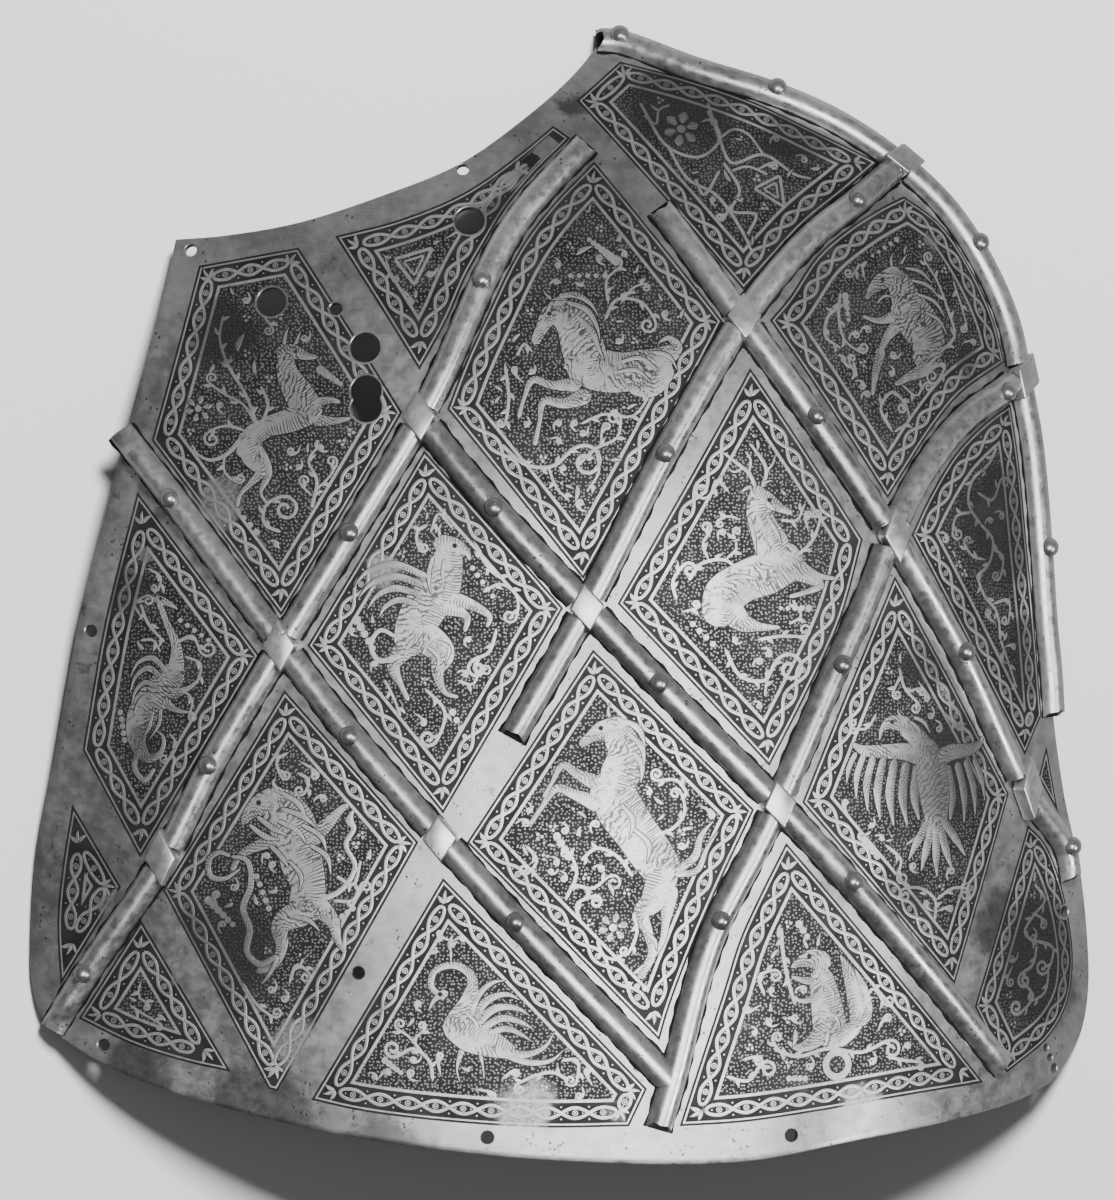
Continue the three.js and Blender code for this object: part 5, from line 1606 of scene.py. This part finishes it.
class Track:
    """A plan line measured along the steel."""

    def __init__(self, dome, places):
        self.dome, self.places = dome, places
        self.reached = lengths_along([dome.above(place) for place in places])
        self.length = self.reached[-1]

    def at(self, distance):
        """Plan place and direction at a distance along the track."""
        reached, low, high = self.reached, 0, len(self.reached) - 2
        while low < high:
            middle = (low + high + 1) // 2
            if reached[middle] <= distance:
                low = middle
            else:
                high = middle - 1
        a, b = self.places[low], self.places[low + 1]
        run = reached[low + 1] - reached[low]
        share = (distance - reached[low]) / run if run else 0
        return a.lerp(b, share), b - a

    def beside(self, distance, offset, rise):
        place, ahead = self.at(distance)
        return self.dome.above(self.dome.beside(place, ahead, offset), rise)


GROUND, LINE, HATCHED = 0, 1, 2


class Relief:
    """Low relief on one panel, gathered in one mesh."""

    def __init__(self, dome):
        self.dome = dome
        self.bm = bmesh.new()
        self.flow = self.bm.verts.layers.float_vector.new("flow")

    def sheet(self, columns, rows, put, material):
        """A grid whose points are placed by put(share along, share across) -> point, flow."""
        made = bmesh.ops.create_grid(self.bm, x_segments=columns, y_segments=rows, size=0.5)
        verts = made["verts"]
        faces = {face for vertex in verts for face in vertex.link_faces}
        for vertex in verts:
            point, flow = put(vertex.co.x + 0.5, vertex.co.y + 0.5)
            vertex.co = point
            vertex[self.flow] = flow
        for face in faces:
            face.material_index = material
            face.smooth = True

    def band(self, outer, inner, rise, material):
        """A band between two insets of the same panel side."""
        first, second = Track(self.dome, outer), Track(self.dome, inner)
        columns = max(2, round(first.length / (4 * MM)))

        def put(along, across):
            a = first.at(along * first.length)[0]
            b = second.at(along * second.length)[0]
            place = a.lerp(b, across)
            return self.dome.above(place, rise), (*[c / MM for c in self.dome.flat(*place)], 0)

        self.sheet(columns, 1 if material == LINE else 3, put, material)

    def floor(self, outline, rise, cell):
        """The ground inside a closed plan outline."""
        bm = bmesh.new()
        verts = [bm.verts.new((place.x, place.y, 0)) for place in outline]
        edges = [bm.edges.new((a, b)) for a, b in zip(verts, verts[1:] + verts[:1])]
        bmesh.ops.triangle_fill(bm, use_beauty=True, edges=edges)
        for _ in range(5):
            long = [edge for edge in bm.edges if edge.calc_length() > cell]
            if not long:
                break
            bmesh.ops.subdivide_edges(bm, edges=long, cuts=1)
            bmesh.ops.triangulate(bm, faces=bm.faces[:])
            bmesh.ops.beautify_fill(bm, faces=bm.faces[:], edges=bm.edges[:])
        mesh = mesh_of("ground", bm)
        before = len(self.bm.verts)
        faces_before = len(self.bm.faces)
        self.bm.from_mesh(mesh)
        bpy.data.meshes.remove(mesh)
        self.bm.verts.ensure_lookup_table()
        self.bm.faces.ensure_lookup_table()
        for vertex in self.bm.verts[before:]:
            place = (vertex.co.x, vertex.co.y)
            vertex[self.flow] = (*[c / MM for c in self.dome.flat(*place)], 1)
            vertex.co = self.dome.above(place, rise)
        for face in self.bm.faces[faces_before:]:
            face.material_index = GROUND
            face.smooth = True

    def strand(self, track, swing, start, end, rise):
        """A raised strand whose edges slope down a little. swing(distance) gives its offset and
        extra rise.
        """
        columns = max(4, round((end - start) / (0.85 * MM)))
        step = (end - start) / columns
        shape = ((-0.5, 0.35), (-0.27, 1), (0.27, 1), (0.5, 0.35))
        wide = STRAND * MM * 1.25

        def put(along, across):
            distance = start + along * (end - start)
            offset, lift = swing(distance)
            low, high = max(start, distance - step), min(end, distance + step)
            lean = math.atan2(swing(high)[0] - swing(low)[0], high - low)
            share, level = shape[round(across * 3)]
            shift = share * wide
            return (
                track.beside(
                    distance - math.sin(lean) * shift, offset + math.cos(lean) * shift,
                    rise + lift + (level - 1) * 0.05 * MM,
                ),
                (distance / MM, share, 0),
            )

        self.sheet(columns, 3, put, LINE)

    def disc(self, point_at, radius, sides, inner=0.0, material=LINE):
        """A dot, or a ring where inner is set. point_at(x, y) gives the point on the steel."""
        if inner:
            def put(along, across):
                angle = along * 2 * math.pi
                reach = inner + (radius - inner) * across
                return point_at(math.cos(angle) * reach, math.sin(angle) * reach), (0, 0, 0)

            self.sheet(sides, 1, put, material)
            return
        made = bmesh.ops.create_circle(self.bm, cap_ends=True, segments=sides, radius=radius)
        for vertex in made["verts"]:
            vertex.co = point_at(vertex.co.x, vertex.co.y)
        for face in {face for vertex in made["verts"] for face in vertex.link_faces}:
            face.material_index = material

    def pierce(self, hole, radius):
        """Cuts a round hole through the relief."""
        middle = self.dome.above(hole)
        reach = radius * 1.3 + 3 * MM
        near = [
            face for face in self.bm.faces
            if (face.calc_center_median() - middle).length < reach
        ]
        if not near:
            return
        turn = self.dome.stand(hole).to_3x3()
        sides = 24
        geometry = set(near)
        for face in near:
            geometry.update(face.edges)
            geometry.update(face.verts)
        geometry = list(geometry)
        angles = [2 * math.pi * i / sides for i in range(sides)]
        ways = [turn @ Vector((math.cos(angle), math.sin(angle), 0)) for angle in angles]
        for way in ways:
            cut = bmesh.ops.bisect_plane(
                self.bm, geom=geometry, dist=1e-7, plane_co=middle + way * radius, plane_no=way
            )
            geometry = cut["geom"]
        inside = []
        for item in geometry:
            if isinstance(item, bmesh.types.BMFace):
                away = item.calc_center_median() - middle
                if all(away.dot(way) < radius for way in ways):
                    inside.append(item)
        bmesh.ops.delete(self.bm, geom=inside, context="FACES")

    def braid(self, side, start_gap, end_gap):
        """The guilloche along one side: two crossing strands with a ringed dot in each lens."""
        track = Track(self.dome, side)
        start, end = start_gap, track.length - end_gap
        if end - start < 0.4 * LENS_PITCH * MM:
            return
        count = max(1, round((end - start) / (LENS_PITCH * MM)))
        pitch = (end - start) / count
        swing_reach = LENS_SWING * MM * min(1, pitch / (6 * MM))

        for hand in (1, -1):
            def swing(distance, hand=hand):
                turn = (distance - start) / pitch
                wave = math.sin(math.pi * turn)
                if turn < 0.5 or turn > count - 0.5:
                    share = 2 * min(turn, count - turn)
                    wave = math.copysign(math.sqrt(max(0, 1 - (1 - share) ** 2)), wave)
                near = math.cos(math.pi * turn)
                return hand * swing_reach * wave, hand * near * 0.035 * MM

            self.strand(track, swing, start, end, BRAID_RISE * MM)
        for lens in range(count):
            middle = start + (lens + 0.5) * pitch

            def around(x, y, middle=middle):
                return track.beside(middle + x, y, MARK_RISE * MM)

            self.disc(around, 1.1 * MM, 12, inner=0.72 * MM)
            self.disc(around, 0.42 * MM, 7)
            for x, y in ((0.27, 0), (-0.27, 0)):
                self.disc(lambda a, b, x=x, y=y: around(a + x * pitch, b + y), 0.3 * MM, 5)
            if lens:
                for y in (1, -1):
                    self.disc(
                        lambda a, b, y=y: around(a - 0.5 * pitch, b + y * swing_reach * 1.15),
                        0.36 * MM, 6,
                    )


class Drawing:
    """Draws the marks of a panel's etching on its relief."""

    def __init__(self, dome, relief, heart):
        self.dome, self.relief, self.heart = dome, relief, heart
        self.rise = MARK_RISE * MM
        self.taken = []

    def place(self, x, y):
        return self.heart + Vector((x, y)) * MM

    def mark(self, text):
        """One mark, read from its row of words."""
        kind, *words = text.split()
        self.rise += 0.004 * MM
        if kind == "V":
            curl, places = float(words[0]), [float(word) for word in words[2:]]
            self.vine([places[i:i + 3] for i in range(0, len(places), 3)], curl)
            return
        values = [float(word) for word in words]
        if kind in "BHLS":
            rows = [values[i:i + 3] for i in range(0, len(values), 3)]
            self.stroke(rows, HATCHED if kind in "BH" else LINE)
        elif kind == "T":
            self.leaf(*values)
        elif kind == "R":
            self.rosette(*values)
        elif kind == "C":
            self.dot(*values, inner=0.75)
        elif kind == "D":
            self.dot(*values, material=GROUND)
        else:
            self.pearls(*values)

    def stroke(self, rows, material, bulge=0.05):
        """A ribbon through places, each with its width, with rounded ends."""
        widths = [row[2] for row in rows]
        spots = [Vector((row[0], row[1])) for row in rows]
        for end, beside in ((0, 1), (-1, -2)):
            if widths[end] > 2.5:
                spots[end] += (spots[end] - spots[beside]).normalized() * widths[end] * 0.36
        line = PlanLine.through([self.place(*spot) for spot in spots])
        for step in range(4 * len(rows)):
            share = step / (4 * len(rows) - 1)
            index = min(len(rows) - 1, round(share * (len(rows) - 1)))
            self.taken.append((line.at(share), widths[index] * 0.5 * MM))
        samples = [line.at(step / 60) for step in range(61)]
        reached = [0.0]
        for a, b in zip(samples, samples[1:]):
            reached.append(reached[-1] + (b - a).length / MM)
        whole = reached[-1]
        columns = min(60, max(6, round(whole / (1.1 if material == HATCHED else 0.8))))
        steps = 4 if max(widths) > 2.2 else 2

        def put(along, across):
            share = 0.5 - 0.5 * math.cos(math.pi * along)
            share = 0.5 * share + 0.5 * along
            position = share * (len(rows) - 1)
            index = min(int(position), len(rows) - 2)
            wide = widths[index] + (widths[index + 1] - widths[index]) * (position - index)
            distance = reached[min(60, round(share * 60))]
            round_off = 1.0
            for end, width in ((distance, widths[0]), (whole - distance, widths[-1])):
                near = min(1, end / (width * 0.5))
                round_off = min(round_off, math.sqrt(max(0, 1 - (1 - near) ** 2)))
            side = across * 2 - 1
            away = side * wide * round_off * 0.5 * MM
            place = self.dome.beside(line.at(share), line.tangent(share), away)
            lift = self.rise + (1 - side * side) * bulge * MM
            return self.dome.above(place, lift), (distance, side, wide * max(round_off, 0.3))

        self.relief.sheet(columns, steps, put, material)

    def vine(self, rows, curl):
        """A thin stem with small leaves, that may end in a curl."""
        rows = [(x, y, wide * VINE_WEIGHT) for x, y, wide in rows]
        points = [Vector(row[:2]) for row in rows]
        if curl:
            ahead = (points[-1] - points[-2]).normalized()
            hand = 1 if curl > 0 else -1
            reach = abs(curl)
            across = Vector((ahead.y, -ahead.x)) * hand
            middle = points[-1] + across * reach
            wide = rows[-1][2]
            for step in range(1, 11):
                turn = math.radians(48 * step) * -hand
                arm = -across * reach * (1 - 0.08 * step)
                spun = Vector((
                    arm.x * math.cos(turn) - arm.y * math.sin(turn),
                    arm.x * math.sin(turn) + arm.y * math.cos(turn),
                ))
                place = middle + spun
                rows = rows + [(place.x, place.y, wide * (1.0 if step < 10 else 1.8))]
        self.stroke(rows, LINE, 0.03)
        line = PlanLine.through([Vector(row[:2]) for row in rows])
        whole = sum((b - a).length for a, b in zip(points, points[1:]))
        count = max(1, round(whole / 6.5))
        reach = (len(points) - 1) / (len(rows) - 1)
        for number in range(count):
            share = reach * (number + 0.6) / count
            place, ahead = line.at(share), line.tangent(share)
            angle = math.degrees(math.atan2(ahead.y, ahead.x)) + (42 if number % 2 else -42)
            self.leaf(place.x, place.y, angle, 3.4, 0.44)

    def leaf(self, x, y, angle, size, plump=0.36):
        """A pointed leaf that bends a little."""
        turn = math.radians(angle)
        ahead = Vector((math.cos(turn), math.sin(turn)))
        side = Vector((-ahead.y, ahead.x))
        rows = []
        for along, across, wide in (
            (0, 0, 0.08), (0.3, 0.05, plump), (0.6, 0.02, plump * 0.85), (1, -0.12, 0.06)
        ):
            spot = Vector((x, y)) + (ahead * along + side * across) * size
            rows.append((spot.x, spot.y, wide * size))
        self.stroke(rows, HATCHED if size > 4 else LINE)

    def rosette(self, x, y, reach):
        for petal in range(6):
            turn = math.radians(60 * petal + 15)
            ahead = Vector((math.cos(turn), math.sin(turn)))
            near, far = Vector((x, y)) + ahead * reach * 0.3, Vector((x, y)) + ahead * reach
            middle = near.lerp(far, 0.6)
            self.stroke(
                [(*near, reach * 0.2), (*middle, reach * 0.62), (*far, reach * 0.3)], HATCHED
            )
        self.dot(x, y, reach * 0.26)

    def dot(self, x, y, reach, inner=0.0, material=LINE):
        middle = self.place(x, y)
        self.taken.append((middle, reach * MM))
        turn = self.dome.stand(middle)
        lift = self.rise + 0.06 * MM

        def around(a, b):
            spot = turn @ Vector((a, b, 0))
            plan = Vector((spot.x - PART_SHIFT.x, spot.y - PART_SHIFT.y))
            return self.dome.above(plan, lift)

        sides = 14 if reach > 0.8 else 8
        self.relief.disc(around, reach * MM, sides, inner * reach * MM, material)

    def pearls(self, x, y, end_x, end_y, count, first, last):
        count = int(count)
        for number in range(count):
            share = number / max(1, count - 1)
            reach = (first + (last - first) * share) * 1.25
            self.dot(x + (end_x - x) * share, y + (end_y - y) * share, reach)

    def fill(self, outline, chance):
        """Small sprigs wherever a panel still has room."""
        pitch = SPRIG_PITCH * MM
        low = Vector((min(p.x for p in outline), min(p.y for p in outline)))
        high = Vector((max(p.x for p in outline), max(p.y for p in outline)))
        for row in range(int((high.y - low.y) / pitch) + 1):
            for column in range(int((high.x - low.x) / pitch) + 1):
                spot = low + Vector((column + chance.random(), row + chance.random())) * pitch
                angle = chance.uniform(0, 360)
                kind, size = chance.random(), chance.uniform(0.8, 1.15)
                if not self.has_room(spot, outline):
                    continue
                x, y = (spot - self.heart) / MM
                if kind < 0.45:
                    self.sprig(x, y, angle, size)
                elif kind < 0.75:
                    self.leaf(x, y, angle, 4.6 * size, 0.4)
                    self.dot(x - 0.9 * size, y + 0.9 * size, 0.5)
                else:
                    for number in range(3):
                        turn = math.radians(angle + 120 * number)
                        self.dot(x + 0.95 * math.cos(turn), y + 0.95 * math.sin(turn), 0.6 * size)

    def sprig(self, x, y, angle, size):
        """A short stem with a curl and one leaf."""
        turn = math.radians(angle)
        ahead = Vector((math.cos(turn), math.sin(turn)))
        side = Vector((-ahead.y, ahead.x))
        start = Vector((x, y)) - ahead * 2.2 * size
        bend, end = start + ahead * 2 * size + side * 0.6 * size, start + ahead * 3.6 * size
        self.vine([(*start, 0.5), (*bend, 0.6), (*end, 0.6)], 1.35 * size)

    def has_room(self, spot, outline):
        """Whether a place lies inside the outline, away from it and from what is drawn."""
        inside = False
        for a, b in zip(outline, outline[1:] + outline[:1]):
            if (a.y > spot.y) != (b.y > spot.y):
                if spot.x < a.x + (spot.y - a.y) / (b.y - a.y) * (b.x - a.x):
                    inside = not inside
            if (a - spot).length < ROOM * MM:
                return False
        return inside and all(
            (place - spot).length > reach + ROOM * MM for place, reach in self.taken
        )


class TARGE_OT_etching(bpy.types.Operator):
    """Makes the etched panels between the bars"""

    bl_idname = "targe.etching"
    bl_label = "Etching"

    def execute(self, context):
        dome = Dome()
        materials = [
            ground_steel(), raised_steel("line_steel", False), raised_steel("figure_steel", True),
        ]
        for name in PANELS:
            self.panel(dome, name, materials)
        return {"FINISHED"}

    def panel(self, dome, name, materials):
        relief = Relief(dome)
        stops = [0, GROOVE, GROOVE + FINE_LINE, GROOVE + FINE_LINE + BRAID]
        stops.append(stops[-1] + INNER_LINE)
        insets = [panel_sides(dome, name, stop * MM) for stop in stops]
        if None in insets[:3]:
            raise RuntimeError(f"panel {name} has no closed outline")
        whole = None not in insets
        for side in range(len(insets[0])):
            relief.band(insets[0][side], insets[1][side], GROUND_RISE * MM, GROUND)
            relief.band(insets[1][side], insets[2][side], FINE_RISE * MM, LINE)
            if whole:
                relief.band(insets[2][side], insets[3][side], GROUND_RISE * MM, GROUND)
                relief.band(insets[3][side], insets[4][side], INNER_RISE * MM, LINE)
        inner = insets[4] if whole else insets[2]
        outline = []
        for place in (place for side in inner for place in side[:-1]):
            if not outline or (place - outline[-1]).length > 0.2 * MM:
                outline.append(place)
        relief.floor(outline, GROUND_RISE * MM, 5 * MM)
        if whole:
            self.braids(dome, relief, name, (GROOVE + FINE_LINE + BRAID / 2) * MM)
        if name in DRAWINGS:
            heart, marks = DRAWINGS[name]
            drawing = Drawing(dome, relief, dome.place(heart))
            for mark in marks.replace("\n ", " ").strip().splitlines():
                drawing.mark(mark)
            drawing.fill(outline, random.Random(len(name)))
        for hole, diameter in all_holes():
            relief.pierce(dome.place(hole), diameter / 2 + BARE_RING * MM)
        finish_piece(f"etched_{name}", relief.bm, materials, angle=60)

    def braids(self, dome, relief, name, inset):
        """The guilloche on every side, held back from the corners."""
        sides = panel_sides(dome, name, inset)
        gaps = []
        for index, side in enumerate(sides):
            before = sides[index - 1]
            corner = dome.above(side[0])
            first = (dome.above(before[-2]) - corner).normalized()
            second = (dome.above(side[1]) - corner).normalized()
            half = math.acos(max(-1, min(1, first.dot(second)))) / 2
            gaps.append((0.1 + 1.5 / math.tan(half)) * MM)
            inwards = (first + second).normalized()
            if math.degrees(half) < 62:
                self.trefoil(dome, relief, side[0], inwards, GROOVE / math.sin(half))
        for index, side in enumerate(sides):
            relief.braid(side, gaps[index], gaps[(index + 1) % len(sides)])

    def trefoil(self, dome, relief, place, inwards, gap):
        """Three small leaves in a corner, outside the ends of the braids."""
        drawing = Drawing(dome, relief, place)
        angle = math.degrees(math.atan2(-inwards.y, -inwards.x))
        away = Vector((-inwards.x, -inwards.y)) * (0.8 * gap - 1.6)
        for lean, size in ((0, 1.25), (48, 0.95), (-48, 0.95)):
            drawing.leaf(away.x, away.y, angle + lean, TREFOIL * size, 0.4)


# Where the camera stands, and which ways its back and its right side face
CAMERA_PLACE = Vector((-0.43241, 0.05256, 2.83066))
CAMERA_BACK = Vector((-0.14987, 0.01995, 0.9885))
CAMERA_RIGHT = Vector((0.9887, 0.00302, 0.14984))


class TARGE_OT_stage(bpy.types.Operator):
    """Makes the pale floor, the soft lights and the camera"""

    bl_idname = "targe.stage"
    bl_label = "Stage"

    def execute(self, context):
        scene = context.scene
        bm = bmesh.new()
        bmesh.ops.create_grid(bm, x_segments=1, y_segments=1, size=6)
        mesh = mesh_of("floor", bm)
        n, paper = Nodes("floor_paper"), settings().finish.floor
        # Painted reflection: the floor shows at a third of its colour where the steel mirrors it
        mirrored = n.add("ShaderNodeLightPath").outputs["Is Glossy Ray"]
        colour = n.mix(mirrored, rgba(paper), rgba(paper, 0.3))
        mesh.materials.append(n.shade(base=colour, roughness=0.9))
        floor = bpy.data.objects.new("floor", mesh)
        scene.collection.objects.link(floor)

        world = bpy.data.worlds.new("studio")
        world.use_nodes = True
        world.node_tree.nodes["Background"].inputs[0].default_value = (1, 1, 1, 1)
        world.node_tree.nodes["Background"].inputs[1].default_value = 0.1
        scene.world = world
        lights = (
            ("top", (0.45, 1.9, 2.6), (0.8, 0.8), 262, "diffuse"),
            ("softbox", (0.05, -0.35, 3.0), (2.2, 1.4), 98, "glossy"),
            ("side", (2.0, -1.0, 2.0), (0.8, 0.6), 50, "glossy"),
        )
        for name, spot, (wide, tall), power, kind in lights:
            data = bpy.data.lights.new(name, "AREA")
            data.shape, data.size, data.size_y, data.energy = "RECTANGLE", wide, tall, power
            light = bpy.data.objects.new(name, data)
            light.location = spot
            light.rotation_mode = "QUATERNION"
            light.rotation_quaternion = (-Vector(spot)).to_track_quat("-Z", "Y")
            light.visible_glossy = kind == "glossy"
            light.visible_diffuse = kind == "diffuse"
            scene.collection.objects.link(light)

        data = bpy.data.cameras.new("camera")
        data.lens, data.sensor_width, data.sensor_fit = 230.1, 36, "AUTO"
        data.clip_start, data.clip_end = 0.1, 20
        camera = bpy.data.objects.new("camera", data)
        back, right = CAMERA_BACK.normalized(), CAMERA_RIGHT.normalized()
        up = back.cross(right).normalized()
        turn = Matrix((right, up, back)).transposed().to_4x4()
        camera.matrix_world = Matrix.Translation(CAMERA_PLACE) @ turn
        scene.collection.objects.link(camera)
        scene.camera = camera
        return {"FINISHED"}


class TargeSettings(bpy.types.PropertyGroup):
    plate: PointerProperty(type=TargePlateSizes)
    trellis: PointerProperty(type=TargeTrellisSizes)
    finish: PointerProperty(type=TargeFinishes)


class TARGE_PT_panel(bpy.types.Panel):
    """Sizes, finishes and steps of the targe"""

    bl_idname = "TARGE_PT_panel"
    bl_label = "Targe"
    bl_space_type = "VIEW_3D"
    bl_region_type = "UI"
    bl_category = "Targe"

    def draw(self, context):
        layout = self.layout
        for title, group in (
            ("Plate", context.scene.targe.plate),
            ("Trellis", context.scene.targe.trellis),
            ("Finishes", context.scene.targe.finish),
        ):
            box = layout.box()
            box.label(text=title)
            for key in group.bl_rna.properties.keys():
                if key not in ("rna_type", "name"):
                    box.prop(group, key)
        for operator in STEPS:
            layout.operator(operator.bl_idname)


STEPS = (
    TARGE_OT_stage, TARGE_OT_plate, TARGE_OT_bars, TARGE_OT_bosses, TARGE_OT_rivets,
    TARGE_OT_etching,
)
GROUPS = (TargePlateSizes, TargeTrellisSizes, TargeFinishes, TargeSettings)
CLASSES = GROUPS + STEPS + (TARGE_PT_panel,)


def register():
    for item in CLASSES:
        bpy.utils.register_class(item)
    bpy.types.Scene.targe = PointerProperty(type=TargeSettings)


def unregister():
    del bpy.types.Scene.targe
    for item in reversed(CLASSES):
        bpy.utils.unregister_class(item)


def main():
    register()
    for operator in STEPS:
        group, name = operator.bl_idname.split(".")
        getattr(getattr(bpy.ops, group), name)()


if __name__ == "__main__":
    main()
